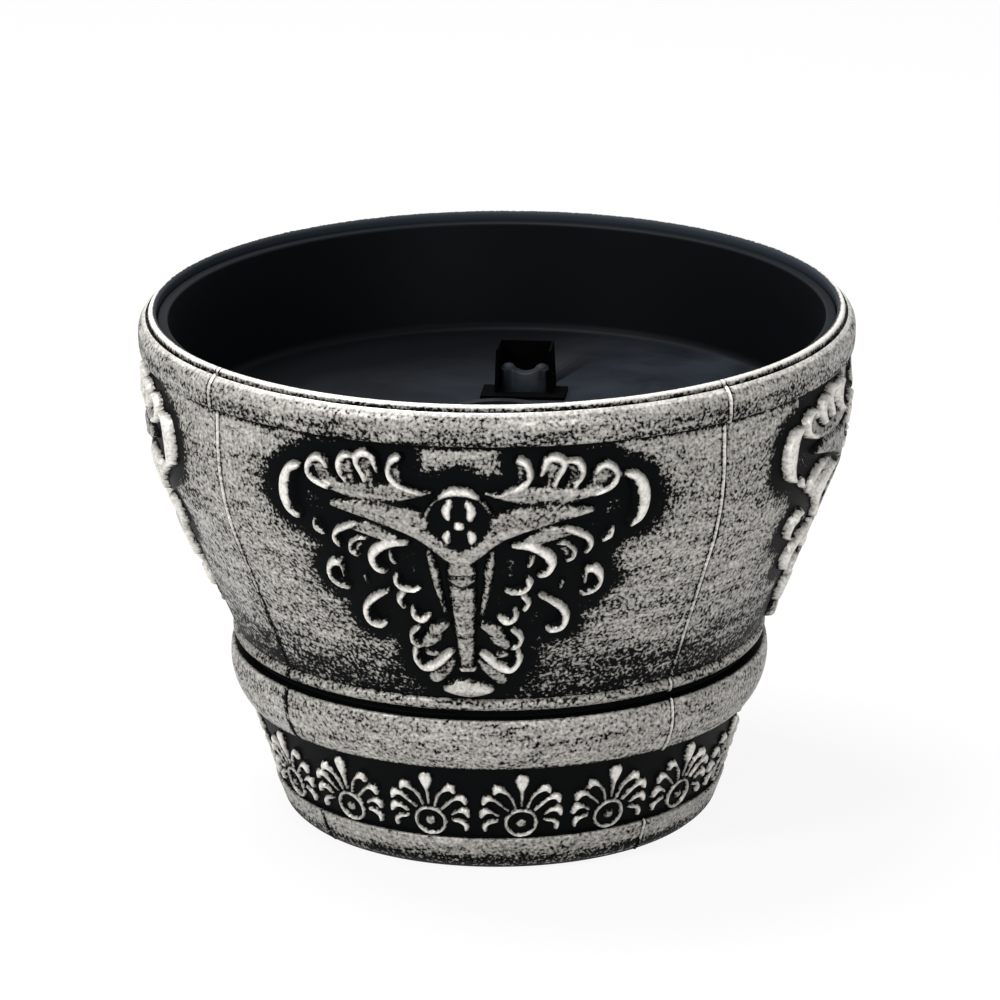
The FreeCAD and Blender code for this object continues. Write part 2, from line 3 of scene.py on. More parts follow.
import bmesh
import bpy
import numpy as np
from mathutils import Matrix, Vector


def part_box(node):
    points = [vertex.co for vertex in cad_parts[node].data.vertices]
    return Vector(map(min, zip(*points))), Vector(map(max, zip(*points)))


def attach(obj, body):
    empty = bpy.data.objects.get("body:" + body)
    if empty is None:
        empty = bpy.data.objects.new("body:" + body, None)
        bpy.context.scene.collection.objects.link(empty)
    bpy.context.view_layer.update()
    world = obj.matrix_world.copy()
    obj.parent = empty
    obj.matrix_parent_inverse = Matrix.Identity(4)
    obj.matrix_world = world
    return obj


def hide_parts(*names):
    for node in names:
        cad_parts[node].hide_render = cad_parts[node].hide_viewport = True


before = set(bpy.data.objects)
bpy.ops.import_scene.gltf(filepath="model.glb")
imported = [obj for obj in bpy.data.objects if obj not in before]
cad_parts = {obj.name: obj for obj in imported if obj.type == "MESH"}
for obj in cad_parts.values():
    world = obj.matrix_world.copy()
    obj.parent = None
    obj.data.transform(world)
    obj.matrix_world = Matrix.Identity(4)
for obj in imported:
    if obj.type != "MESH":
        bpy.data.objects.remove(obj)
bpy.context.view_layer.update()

# The pot
# One black polypropylene moulding from a mould in four quarters, whose joints leave a thin upright line each.
# Antique silver is dabbed on almost dry, so that it takes on what stands proud and leaves the hollows black.
MM = 0.001
RIM_RADIUS = 200.0
POT_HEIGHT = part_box("pot_shell")[1].z / MM
RIM_EDGE_RADIUS = RIM_RADIUS - 10.3
BOWL_TOP_RADIUS = RIM_RADIUS - 5.4
LIP_BULGE = 1.9
LIP_MIDDLE = POT_HEIGHT - LIP_BULGE
LIP_OUTSIDE = RIM_EDGE_RADIUS + 4.5
ROLL_INSIDE = LIP_OUTSIDE + 1.5
ROLL_TOP = POT_HEIGHT - 3.0
ROLL_BOTTOM = ROLL_TOP - 19.0
LIP_GROOVE = ROLL_TOP - 1.5
LEDGE_HEIGHT = POT_HEIGHT - 8.0
LEDGE_RADIUS = RIM_EDGE_RADIUS - 3.2
CURVE_TOP = ROLL_BOTTOM - 19.5
CURVE_BOTTOM = CURVE_TOP - 53.0
CURVE_FOOT_RADIUS = BOWL_TOP_RADIUS - 9.6
WAIST_HEIGHT = 111.0
WAIST_RADIUS = 149.0
BEAD_RADIUS = WAIST_RADIUS - 1.5
BEAD_BOTTOM = WAIST_HEIGHT - 7.5
GROOVE_RADIUS = BEAD_RADIUS - 4.0
GROOVE_BOTTOM = BEAD_BOTTOM - 5.0
BAND_TOP_RADIUS = WAIST_RADIUS + 1.9
BAND_FOOT_RADIUS = BAND_TOP_RADIUS - 8.0
BAND_BOTTOM = GROOVE_BOTTOM - 31.0
FOOT_HEIGHT = 21.0
FOOT_TOP_RADIUS = 128.0
FOOT_RADIUS = 116.0
FOOT_RING_INSIDE = FOOT_RADIUS - 12.0
FRIEZE_TOP_RADIUS = BAND_FOOT_RADIUS - 3.5
FRIEZE_FOOT_RADIUS = FOOT_TOP_RADIUS - 3.5
POT_WALL = 3.5
POT_FLOOR = 8.0
FOOT_LIFT = 4.0
DRAIN_RADIUS = 12.3
# How far the curved parts of the outline stand off a straight line, and how many points draw each
BAND_BULGE, BEAD_BULGE, BOWL_BULGE = 3.8, 2.8, 2.4
BAND_POINTS, BEAD_POINTS, BOWL_POINTS = 14, 7, 16
QUARTERS = ("front", "right", "back", "left")
QUARTER_TURN = 2 * math.pi / len(QUARTERS)
POT_COLUMNS = 400
PAINTED_STEP = 2.2
BARE_STEP = 25.0
SHARP_EDGE = 55
SEAM_HEIGHT = 1.1
# Distances from the middle of a seam, and how much silver lies at each, where the seam is sharp and where it
# is
# worn: heaped on the ridge and scant beside it, partly where the dry brush caught and missed, partly a
# painted highlight on the ridge and painted shade beside it
SEAM_PLACES = (0, 0.6, 1.1, 1.6, 2.4, 4.0)
SEAM_SILVER_AND_LIGHT_SHARP = (1.8, 1.6, 0.9, 0.3, 0.8, 1.0)
SEAM_SILVER_AND_LIGHT_WORN = (0.5, 0.4, 0.2, 0.3, 0.75, 1.0)
# The two seams on the left are worn below the first height and sharp above the second
SEAM_WORN_BELOW, SEAM_SHARP_ABOVE = 125.0, 205.0
# Share of its height that a worn seam keeps
SEAM_WORN_SHARE = 0.5
# Silver on the crown of the lip, from its outer side to its inner side: more than on the wall, partly the
# thick coat on a proud edge and partly a painted highlight
LIP_SILVER_AND_HIGHLIGHT = (1.5, 1.9, 1.2, 0.0, 0.0)
LIP_CROWN_RADIUS = (LIP_OUTSIDE + RIM_EDGE_RADIUS) / 2
# The bare inner side of the lip's crown is coloured grey down to this depth, in the grey two lines below: a
# painted sheen
LIP_PAINTED_SHEEN_DEPTH = 2.0
BLACK_PLASTIC = "#050607"
LIP_PAINTED_SHEEN = "#2b3036"
SILVER_PAINT = "#dedbd5"
SILVER_WORN = "#55534f"
# How strongly the grain breaks up the silver on the wall
WALL_GRAIN = 1.7


def linear(hex_colour):
    channels = [int(hex_colour[i:i + 2], 16) / 255 for i in (1, 3, 5)]
    return [c / 12.92 if c <= 0.04045 else ((c + 0.055) / 1.055) ** 2.4 for c in channels] + [1.0]


def add(tree, kind, settings=None, links=None):
    """A node with its settings and links; a number or a capital names a socket, a small letter a property."""
    node = tree.nodes.new(kind)
    for name, value in (settings or {}).items():
        if isinstance(name, int) or name[0].isupper():
            node.inputs[name].default_value = value
        else:
            setattr(node, name, value)
    for name, source in (links or {}).items():
        tree.links.new(source, node.inputs[name])
    return node


def arc(start, end, bulge, count):
    """Points of an arc between start and end, which stands bulge to the right of the straight line."""
    a, b = np.array(start, float), np.array(end, float)
    chord = b - a
    right = np.array([chord[1], -chord[0]]) / np.linalg.norm(chord)
    half = np.linalg.norm(chord) / 2
    radius = (half * half + bulge * bulge) / (2 * bulge)
    middle = (a + b) / 2 + right * (bulge - radius)
    first, last = [math.atan2(p[1] - middle[1], p[0] - middle[0]) for p in (a, b)]
    turns = np.linspace(first, last, count + 2)[1:-1]
    return [tuple(middle + radius * np.array([math.cos(t), math.sin(t)])) for t in turns]


def softened(path):
    """A closed path of (radius, height, rounding, silver) with each rounded corner drawn as a small curve."""
    most_of_side, corner_points = 0.45, 5
    out = []
    for i, (r, z, rounding, silver) in enumerate(path):
        here = np.array([r, z])
        if rounding == 0:
            out.append((r, z, silver))
            continue
        before, after = np.array(path[i - 1][:2]), np.array(path[(i + 1) % len(path)][:2])
        ends = []
        for other in (before, after):
            reach = min(rounding, most_of_side * np.linalg.norm(other - here))
            ends.append(here + (other - here) / np.linalg.norm(other - here) * reach)
        for t in np.linspace(0, 1, corner_points):
            p = (1 - t) ** 2 * ends[0] + 2 * t * (1 - t) * here + t * t * ends[1]
            out.append((p[0], p[1], silver))
    return out


def stepped(path):
    """The same closed path in short steps where it is painted, and in long ones where it is bare."""
    out = []
    for i, p in enumerate(path):
        q = path[(i + 1) % len(path)]
        step = PAINTED_STEP if p[2] + q[2] > 0 else BARE_STEP
        count = max(1, math.ceil(math.hypot(q[0] - p[0], q[1] - p[1]) / step))
        for k in range(count):
            out.append(tuple(p[j] + (q[j] - p[j]) * k / count for j in range(3)))
    return out


def as_piece(name, points, faces, silver=None, closed=True, painted_sheen=None):
    mesh = bpy.data.meshes.new(name)
    mesh.from_pydata([tuple(p) for p in points], [], faces)
    if closed:
        work = bmesh.new()
        work.from_mesh(mesh)
        bmesh.ops.recalc_face_normals(work, faces=work.faces)
        work.to_mesh(mesh)
        work.free()
    # The second attribute marks where a painted sheen colours the bare plastic grey
    for layer_name, values in (("silver", silver), ("painted_sheen", painted_sheen)):
        if values is None:
            continue
        layer = mesh.attributes.new(layer_name, "FLOAT", "POINT")
        layer.data.foreach_set("value", np.asarray(values, dtype=np.float32))
    mesh.shade_smooth()
    mesh.set_sharp_from_angle(angle=math.radians(SHARP_EDGE))
    piece = bpy.data.objects.new(name, mesh)
    bpy.context.scene.collection.objects.link(piece)
    return piece


def turned_faces(rows, columns):
    faces = []
    for i in range(rows):
        j = (i + 1) % rows
        for k in range(columns):
            m = (k + 1) % columns
            faces.append((i * columns + k, i * columns + m, j * columns + m, j * columns + k))
    return faces


def pot_path():
    """The outline of the pot, up the outside and down the inside, as radius, height and silver."""
    band = arc((BAND_FOOT_RADIUS, BAND_BOTTOM), (BAND_TOP_RADIUS, GROOVE_BOTTOM), BAND_BULGE, BAND_POINTS)
    bead = arc((BEAD_RADIUS, BEAD_BOTTOM), (BEAD_RADIUS, WAIST_HEIGHT), BEAD_BULGE, BEAD_POINTS)
    bowl = arc((CURVE_FOOT_RADIUS, CURVE_BOTTOM), (BOWL_TOP_RADIUS, CURVE_TOP), BOWL_BULGE, BOWL_POINTS)
    lip = arc((LIP_OUTSIDE, LIP_MIDDLE), (RIM_EDGE_RADIUS, LIP_MIDDLE), LIP_BULGE, len(LIP_SILVER_AND_HIGHLIGHT))
    # Radius, height, rounding and silver of each corner
    path = [(DRAIN_RADIUS, FOOT_LIFT, 0.5, 0), (FOOT_RING_INSIDE, FOOT_LIFT, 1, 0),
            (FOOT_RING_INSIDE, 0, 1, 0), (FOOT_RADIUS, 0, 2, 0),
            (FOOT_RADIUS + 6.0, 5, 3, 0.34), (FOOT_RADIUS + 8.8, 12.5, 0, 0.74),
            (FOOT_TOP_RADIUS, FOOT_HEIGHT, 1.6, 0.8),
            (FRIEZE_FOOT_RADIUS, FOOT_HEIGHT, 0.8, 0), (FRIEZE_TOP_RADIUS, BAND_BOTTOM, 0.8, 0),
            (BAND_FOOT_RADIUS, BAND_BOTTOM, 1.4, 0.45)]
    path += [(r, z, 0, 0.72) for r, z in band]
    path += [(BAND_TOP_RADIUS, GROOVE_BOTTOM, 1.6, 0.8), (BAND_TOP_RADIUS - 2.2, GROOVE_BOTTOM, 0, 0),
             (GROOVE_RADIUS, GROOVE_BOTTOM, 0.8, 0), (GROOVE_RADIUS, BEAD_BOTTOM, 0.8, 0),
             (BEAD_RADIUS, BEAD_BOTTOM, 0.6, 0.3)]
    path += [(r, z, 0, 0.62) for r, z in bead]
    # From the bowl down to the waist the silver thins: partly a thinner coat in the hollow, partly painted
    # shade
    path += [(BEAD_RADIUS, WAIST_HEIGHT, 0.5, 0.1), (WAIST_RADIUS, WAIST_HEIGHT, 0.6, 0.25),
             (WAIST_RADIUS + 4.0, WAIST_HEIGHT + 9.6, 0, 0.36),
             (WAIST_RADIUS + 14.5, WAIST_HEIGHT + 34.8, 0, 0.62), (CURVE_FOOT_RADIUS, CURVE_BOTTOM, 0, 0.72)]
    path += [(r, z, 0, 0.7) for r, z in bowl]
    path += [(BOWL_TOP_RADIUS, CURVE_TOP, 0, 0.78), (BOWL_TOP_RADIUS, ROLL_BOTTOM - 4, 0, 0.8),
             (BOWL_TOP_RADIUS, ROLL_BOTTOM, 0.8, 0), (RIM_RADIUS - 0.6, ROLL_BOTTOM, 3, 0.5),
             (RIM_RADIUS, ROLL_BOTTOM + 6, 3, 0.62), (RIM_RADIUS, ROLL_TOP - 5, 4, 0.74),
             # The roll's top takes more silver than the wall: partly the thick coat on its proud edge, partly
             # a painted highlight
             (ROLL_INSIDE, ROLL_TOP, 2.5, 1.15), (ROLL_INSIDE, LIP_GROOVE, 0.4, 0.25),
             (LIP_OUTSIDE, LIP_GROOVE, 0.4, 0.25), (LIP_OUTSIDE, LIP_MIDDLE, 0, 0.6)]
    path += [(r, z, 0, silver) for (r, z), silver in zip(lip, LIP_SILVER_AND_HIGHLIGHT)]
    path += [(RIM_EDGE_RADIUS, LIP_MIDDLE, 0, 0),
             (RIM_EDGE_RADIUS, LEDGE_HEIGHT, 0.5, 0), (LEDGE_RADIUS, LEDGE_HEIGHT, 0.5, 0),
             (LEDGE_RADIUS, LEDGE_HEIGHT - 5, 1, 0), (BOWL_TOP_RADIUS - POT_WALL, LEDGE_HEIGHT - 12, 2, 0)]
    path += [(r - POT_WALL, z, 0, 0) for r, z in reversed(bowl)]
    path += [(WAIST_RADIUS - POT_WALL, WAIST_HEIGHT, 2, 0), (GROOVE_RADIUS - POT_WALL, BEAD_BOTTOM, 1, 0),
             (GROOVE_RADIUS - POT_WALL, GROOVE_BOTTOM, 1, 0),
             (FRIEZE_TOP_RADIUS - POT_WALL, BAND_BOTTOM, 2, 0),
             (FRIEZE_FOOT_RADIUS - POT_WALL, FOOT_HEIGHT, 2, 0), (FOOT_RADIUS, POT_FLOOR, 3, 0),
             (DRAIN_RADIUS, POT_FLOOR, 0.5, 0)]
    return np.array(stepped(softened(path)))


def path_normals(path):
    along = np.roll(path[:, :2], -1, 0) - np.roll(path[:, :2], 1, 0)
    normals = np.stack([along[:, 1], -along[:, 0]], 1)
    return normals / np.linalg.norm(normals, axis=1)[:, None]


def pot_turns():
    """Even columns, made closer at the four seams."""
    clearance = 1.2
    even = np.arange(POT_COLUMNS) * 2 * math.pi / POT_COLUMNS
    close = np.concatenate([-np.array(SEAM_PLACES[:0:-1]), SEAM_PLACES]) / BOWL_TOP_RADIUS
    seams = (np.arange(len(QUARTERS)) + 0.5) * QUARTER_TURN
    away = np.min(np.abs(even[:, None] - seams[None, :]), axis=1)
    columns = np.concatenate([even[away > close[-1] * clearance], (seams[:, None] + close[None, :]).ravel()])
    return np.sort(columns)


def seam_distance(turns):
    quarter = (turns % QUARTER_TURN) - QUARTER_TURN / 2
    return np.abs(quarter) * BOWL_TOP_RADIUS


def pot_surface():
    """The outline and the turned surface of the pot: its points, faces, silver, and the painted sheen on its
    lip.
    """
    slack = 0.1
    path, turns = pot_path(), pot_turns()
    normals = path_normals(path)
    away = seam_distance(turns)
    sharp = np.clip((path[:, 1, None] - SEAM_WORN_BELOW) / (SEAM_SHARP_ABOVE - SEAM_WORN_BELOW), 0, 1)
    sharp = np.where(turns > math.pi, sharp, 1.0)
    on_lip = (path[:, 1] > ROLL_BOTTOM) & (path[:, 0] < LIP_OUTSIDE + slack)
    ridged = ((path[:, 2] > 0) & ~on_lip).astype(float)[:, None]
    ridge = SEAM_HEIGHT * np.clip(1 - away / SEAM_PLACES[2], 0, 1) * ridged
    ridge *= SEAM_WORN_SHARE + (1 - SEAM_WORN_SHARE) * sharp
    seam_silver_and_light_sharp = np.interp(away, SEAM_PLACES, SEAM_SILVER_AND_LIGHT_SHARP)
    seam_silver_and_light_worn = np.interp(away, SEAM_PLACES, SEAM_SILVER_AND_LIGHT_WORN)
    seam_silver_and_light = seam_silver_and_light_worn + (seam_silver_and_light_sharp - seam_silver_and_light_worn) * sharp
    radius = (path[:, 0, None] + normals[:, 0, None] * ridge) * MM
    height = (path[:, 1, None] + normals[:, 1, None] * ridge) * MM
    points = np.stack([radius * np.sin(turns), -radius * np.cos(turns), height], -1).reshape(-1, 3)
    silver = (path[:, 2, None] * seam_silver_and_light).ravel()
    # A painted sheen: the bare inner side of the lip's crown is marked to be coloured grey
    inner_lip = (path[:, 0] < LIP_CROWN_RADIUS + slack) & (path[:, 0] > RIM_EDGE_RADIUS - slack)
    painted_sheen = inner_lip & (path[:, 1] > LIP_MIDDLE - LIP_PAINTED_SHEEN_DEPTH)
    painted_sheen = np.repeat(painted_sheen.astype(float), len(turns))
    return path, points, turned_faces(len(path), len(turns)), silver, painted_sheen


def antique_plastic(name, grain_share):
    # Black polypropylene, moulded with a fine grit, with silver lacquer dabbed on almost dry: the eye sees
    # black pits of about 1 mm in a pale coat, which thins out in dabs and in streaks that run round the pot.
    grain_width, dab_width, streak_width, streak_squash = 1.8, 4.5, 30.0, 6
    dab_share, streak_share = 0.45, 0.95
    paint_starts, paint_covers, bare_below = 0.36, 0.56, 0.15
    worn_at, bright_at = 0.4, 1.55
    black_rough, silver_rough, silver_metallic = 0.5, 0.38, 0.3
    material = bpy.data.materials.new(name)
    material.use_nodes = True
    tree = material.node_tree
    shader = tree.nodes["Principled BSDF"]
    place = add(tree, "ShaderNodeTexCoord")
    brushed = add(tree, "ShaderNodeMapping", {"Scale": (1, 1, streak_squash)},
                  {"Vector": place.outputs["Object"]})
    grain = add(tree, "ShaderNodeTexNoise",
                {"Scale": 1 / (grain_width * MM), "Detail": 1.5, "Roughness": 0.5},
                {"Vector": place.outputs["Object"]})
    dabs = add(tree, "ShaderNodeTexNoise", {"Scale": 1 / (dab_width * MM), "Detail": 2.0},
               {"Vector": place.outputs["Object"]})
    streaks = add(tree, "ShaderNodeTexNoise",
                  {"Scale": 1 / (streak_width * MM), "Detail": 4.0, "Roughness": 0.6},
                  {"Vector": brushed.outputs["Vector"]})
    amount = add(tree, "ShaderNodeAttribute", {"attribute_name": "silver"})
    painted_sheen = add(tree, "ShaderNodeAttribute", {"attribute_name": "painted_sheen"})
    total = amount.outputs["Fac"]
    for texture, weight in ((grain, grain_share), (dabs, dab_share), (streaks, streak_share)):
        share = add(tree, "ShaderNodeMath", {"operation": "MULTIPLY_ADD", 1: weight, 2: -weight / 2},
                    {0: texture.outputs["Fac"]})
        total = add(tree, "ShaderNodeMath", {"operation": "ADD"}, {0: total, 1: share.outputs[0]}).outputs[0]
    thick = add(tree, "ShaderNodeMapRange", {"From Min": paint_starts, "From Max": paint_covers},
                {"Value": total})
    bare = add(tree, "ShaderNodeMapRange", {"From Min": 0.0, "From Max": bare_below},
               {"Value": amount.outputs["Fac"]})
    mask = add(tree, "ShaderNodeMath", {"operation": "MULTIPLY"},
               {0: thick.outputs["Result"], 1: bare.outputs["Result"]})
    bright = add(tree, "ShaderNodeMapRange", {"From Min": worn_at, "From Max": bright_at}, {"Value": total})
    tone = add(tree, "ShaderNodeMix", {"data_type": "RGBA", 6: linear(SILVER_WORN), 7: linear(SILVER_PAINT)},
               {0: bright.outputs["Result"]})
    # The black ground turns grey where the lip is marked: a painted sheen
    ground = add(tree, "ShaderNodeMix",
                 {"data_type": "RGBA", 6: linear(BLACK_PLASTIC), 7: linear(LIP_PAINTED_SHEEN)},
                 {0: painted_sheen.outputs["Fac"]})
    colour = add(tree, "ShaderNodeMix", {"data_type": "RGBA"},
                 {0: mask.outputs[0], 6: ground.outputs[2], 7: tone.outputs[2]})
    rough = add(tree, "ShaderNodeMapRange", {"To Min": black_rough, "To Max": silver_rough},
                {"Value": mask.outputs[0]})
    metal = add(tree, "ShaderNodeMath", {"operation": "MULTIPLY", 1: silver_metallic}, {0: mask.outputs[0]})
    shader.inputs["Specular IOR Level"].default_value = 0.03
    grit = add(tree, "ShaderNodeBump", {"Strength": 0.8, "Distance": 0.5 * MM}, {"Height": mask.outputs[0]})
    for socket, source in (("Base Color", colour.outputs[2]), ("Roughness", rough.outputs["Result"]),
                           ("Metallic", metal.outputs[0]), ("Normal", grit.outputs["Normal"])):
        tree.links.new(source, shader.inputs[socket])
    return material


ANTIQUE = antique_plastic("antique_silver_on_black_polypropylene", WALL_GRAIN)
pot_profile, pot_points, pot_faces, pot_silver, pot_painted_sheen = pot_surface()

# The four ornaments
# Acanthus reliefs moulded with the pot, one on each quarter: a three-armed stem with leaves curling from it.
# Silver lies on their crowns, moved to the outer side as a painted highlight, and a black margin is left
# round each on the pot.
ORNAMENT_STEP = 0.85
ORNAMENT_REACH, ORNAMENT_LOW, ORNAMENT_HIGH = 103.0, 111.5, 268.0
RELIEF = 5.0
# At 2 the crown of a stroke is round, and above that it is flatter
CROWN_FLATNESS = 2.4
# How steeply the relief dives below the wall beside a stroke, and the depth down to which it is kept
SINK, SUNK_DEPTH = 0.8, 0.5
# Share of a stroke's height from which silver begins to catch, and at which it covers
CREST_BARE, CREST_PAINTED = 0.42, 0.8
# On a bright stroke the silver lies off its middle, outwards and upwards by these shares of its half width: a
# painted highlight on the flank that faces the lamps
HIGHLIGHT_OUT, HIGHLIGHT_UP = 0.45, 0.15
# How far beyond its edge such a stroke takes this painted highlight, and how much of it
HIGHLIGHT_REACH, HIGHLIGHT_FOOT = 1.3, 0.25
MARGIN_INSIDE, MARGIN_OUTSIDE, MARGIN_FADE = 5.5, 11.5, 26.0
# Share of the silver that lies just outside of the margin
MARGIN_SILVER = 0.78
# The carving is smoother than the wall, so the silver on it shows less grain
RELIEF_GRAIN = 1.25
# Share of its height that a cut stroke keeps, and over how much of the cut's width the silver comes back
CUT_SHARE, CUT_FADE = 0.3, 0.5
BARE, FAINT, WORN, PALE, FULL = 0.0, 0.6, 0.68, 0.95, 1.45
# Each stroke: its points in front view as distance from the ornament's axis and height above the floor, its
# width at each point, its height as a share of the relief, and how much silver it takes.
MIDDLE_STROKES = [
    # the black shield in the middle, the brow over it and the eye in it
    ([(0, 238), (0, 229), (0, 219), (0, 210)], [22, 34, 24, 6], 0.45, BARE),
    ([(-10, 241.3), (-5, 244), (0, 244.8), (5, 244), (10, 241.3)], [2, 5, 5.6, 5, 2], 1.0, FULL),
    ([(-0.3, 225), (0.3, 225)], [4.8, 4.8], 0.95, FULL),
    # the stem: its fork, its collar, its long bar, the bar's foot and the base leaf
    ([(0, 205), (0, 201), (0, 195)], [10, 15, 17], 0.75, WORN),
    ([(0, 193), (0, 188)], [16.8, 15.6], 0.7, WORN),
    ([(0, 183), (0, 165), (0, 150), (0, 136)], [15.4, 12.6, 10.4, 8], 0.75, WORN),
    ([(-3.4, 132.3), (3.4, 132.3)], [2.6, 2.6], 0.8, FULL),
    ([(-13, 119.6), (-7, 119.7), (0, 119.8), (7, 119.7), (13, 119.6)], [2.5, 9, 12.4, 9, 2.5], 1.0, PALE),
]
SIDE_STROKES = [
    # the arm, its rough upper half, and the frame and petals of the shield
    ([(3, 206), (9, 210), (15, 214.5), (23, 219.5), (34, 224), (47, 228), (59, 230.3), (70, 232)],
     [10, 9.4, 7.6, 7, 7, 6.4, 5, 2], 0.8, WORN),
    ([(20.5, 226), (27, 227.5), (36, 229.5), (46, 231)], [10, 12, 11, 9], 0.74, WORN),
    ([(23, 231), (34, 231), (47, 232.6), (60, 233.2), (69, 233)], [6, 12, 10, 6.5, 3], 0.74, WORN),
    ([(9.4, 241.4), (14.5, 237), (17.6, 231), (18, 225), (14.5, 218.5), (8, 212.5), (1, 206.5)],
     [1.6, 2, 2, 2, 2, 2.4, 3.4], 0.75, WORN),
    ([(4.4, 238.4), (5.8, 234), (5.4, 229.8)], [3.8, 6.2, 3.8], 0.9, FULL),
    ([(5.2, 221.4), (6.3, 218.8), (6, 216)], [2.6, 5.4, 3.2], 0.9, FULL),
    # the end crescent, the four lobes and the rough leaf that they grow from
    ([(87.2, 250.6), (91.6, 248.2), (94.2, 242), (94.6, 233.5), (92.6, 226), (88.2, 221.4)],
     [4, 7, 9.5, 9.5, 7, 3], 1.0, FULL),
    ([(71, 253), (73.2, 256.2), (77, 257), (80.6, 254.2), (81.8, 250), (80.2, 246), (75.8, 243.2),
      (71, 241.5)],
     [3, 4.2, 5, 5, 4.8, 4.5, 4.2, 3.6], 1.0, FULL),
    ([(57.8, 261), (61.8, 260), (64, 256), (63.5, 251.5), (60.5, 247)], [3.4, 5, 5.6, 5, 4], 1.0, FULL),
    ([(43.4, 253.8), (44.8, 258.5), (46.2, 262), (50.5, 263), (54.4, 260.2), (54, 256), (51.6, 251.8),
      (50, 248)],
     [3, 4.2, 5.4, 6, 5.4, 4.8, 4.2, 3.6], 1.0, FULL),
    ([(31.6, 262), (34.8, 260.4), (36.6, 256.5), (36.8, 252.3), (34.8, 249), (31, 246.4), (25, 244.4),
      (19, 242)],
     [5.2, 5.4, 5, 5, 4.8, 4, 3, 1.6], 1.0, FULL),
    # the low leaf under each lobe
    ([(66, 243), (72, 247), (76.5, 252)], [6, 8, 7.5], 0.45, FAINT),
    ([(58, 244), (61.5, 256)], [6, 6.5], 0.45, FAINT),
    ([(49, 246), (50, 258)], [7, 8], 0.45, FAINT),
    ([(33, 247), (33.5, 257)], [5, 5], 0.45, FAINT),
    ([(71, 242), (60, 241.3), (48, 242), (36, 242), (28, 242), (20, 243), (14, 243.6)],
     [4, 9, 11, 11, 8, 4, 1.5], 0.6, WORN),
    # the hooks under the arm, and the rough leaf that they grow from
    ([(79.6, 220.3), (78.3, 216.5), (74.3, 213.3)], [2.4, 3.6, 2], 0.85, FULL),
    ([(65.5, 207.3), (68, 212), (66.3, 216.5), (61, 219.8), (56, 222.5)], [2.2, 4, 4.2, 4, 3], 0.9, FULL),
    ([(58, 220.6), (50, 220), (41.5, 217.4), (33, 213.6)], [6, 9.4, 9, 5], 0.6, WORN),
    ([(50.5, 213.6), (55.5, 213.3), (59.6, 209), (59, 205), (55.5, 202.6)],
     [1.8, 2.4, 2.8, 2.8, 2], 0.85, FULL),
    ([(53, 210.5), (55.6, 208.5), (56, 205.8)], [1.4, 1.8, 1.4], 0.6, FULL),
    ([(28, 213.6), (36.5, 212.6), (44, 208.3), (47.3, 202.5), (45.2, 196.8), (40.8, 194.4)],
     [3, 5, 6.2, 6.6, 5, 2.4], 0.95, FULL),
    ([(38.2, 206.5), (37, 202.5), (35.2, 200)], [2, 3, 1.8], 0.8, FULL),
    # the outer drop and the scroll
    ([(65.5, 197), (69.5, 196.4), (72, 192), (71.2, 186.5), (67.5, 182.3), (62, 180.2)],
     [3.4, 5.2, 5, 4.2, 3, 1.8], 0.95, FULL),
    ([(66, 196.5), (64.6, 191), (64.4, 187)], [2.6, 2.4, 1.6], 0.8, FULL),
    ([(53.4, 190), (51.8, 185)], [2.2, 2], 0.55, WORN),
    ([(40, 181.8), (46, 177.8), (51.6, 171.8), (52.8, 165.5), (50.4, 160.2), (45.5, 158.4), (42.8, 159.4)],
     [2, 3.6, 5, 5.6, 4.8, 3.4, 2], 1.0, FULL),
    # the leaves beside the stem, from the side strip down to the base leaf
    ([(17.2, 208.5), (15.4, 200.5), (14.2, 193), (13.6, 187.5), (11.5, 178), (9.8, 169)],
     [3, 5, 5, 4.2, 3.6, 2.4], 0.65, WORN),
    ([(34.8, 192.3), (35.2, 188.8), (32.4, 185), (26.8, 183.6), (22.5, 185.3)],
     [3.4, 4.6, 3.8, 3, 1.8], 0.9, FULL),
    ([(31.6, 181.2), (34.3, 177), (32, 172.3)], [3, 4, 3], 0.9, FULL),
    ([(27, 171.5), (26.6, 167), (22.2, 164.6), (18.4, 167.5)], [3, 4.6, 4.8, 2.6], 0.9, FULL),
    ([(10, 162), (15, 158.8), (18, 153), (21.5, 148.6)], [5, 9, 10, 6], 0.75, WORN),
    ([(24.8, 159), (28.6, 155), (28.4, 150), (24.5, 147.3)], [2.4, 3.4, 3.6, 3], 0.95, FULL),
    ([(27, 145), (27.2, 138.5), (23, 132.8), (17.2, 134.2), (11.5, 140), (7.5, 144)],
     [3.4, 4.7, 5, 5, 4.7, 3], 0.95, FULL),
    ([(20.5, 142.5), (17, 141.5)], [5, 4], 0.55, WORN),
    ([(7.2, 138), (12, 132.5), (17.5, 126.5)], [4, 9, 9], 0.66, WORN),
]
# The lines cut across the collar of the stem
CUTS = [
    ([(-7, 194), (0, 194), (7, 194)], [1.2, 1.2, 1.2]),
    ([(-7, 189.4), (-3.5, 187.2), (0, 186.4), (3.5, 187.2), (7, 189.4)], [1.4, 1.4, 1.4, 1.4, 1.4]),
]

# The wall that carries the reliefs, without the rounded corners at its two ends
WALL_LOW, WALL_HIGH = WAIST_HEIGHT + 0.5, ROLL_BOTTOM - 1
bowl_wall = pot_profile[(pot_profile[:, 0] > WAIST_RADIUS) & (pot_profile[:, 2] > 0)]
bowl_wall = bowl_wall[(bowl_wall[:, 1] > WALL_LOW) & (bowl_wall[:, 1] < WALL_HIGH)]


def bowl_radius(z):
    return np.interp(z, bowl_wall[:, 1], bowl_wall[:, 0])


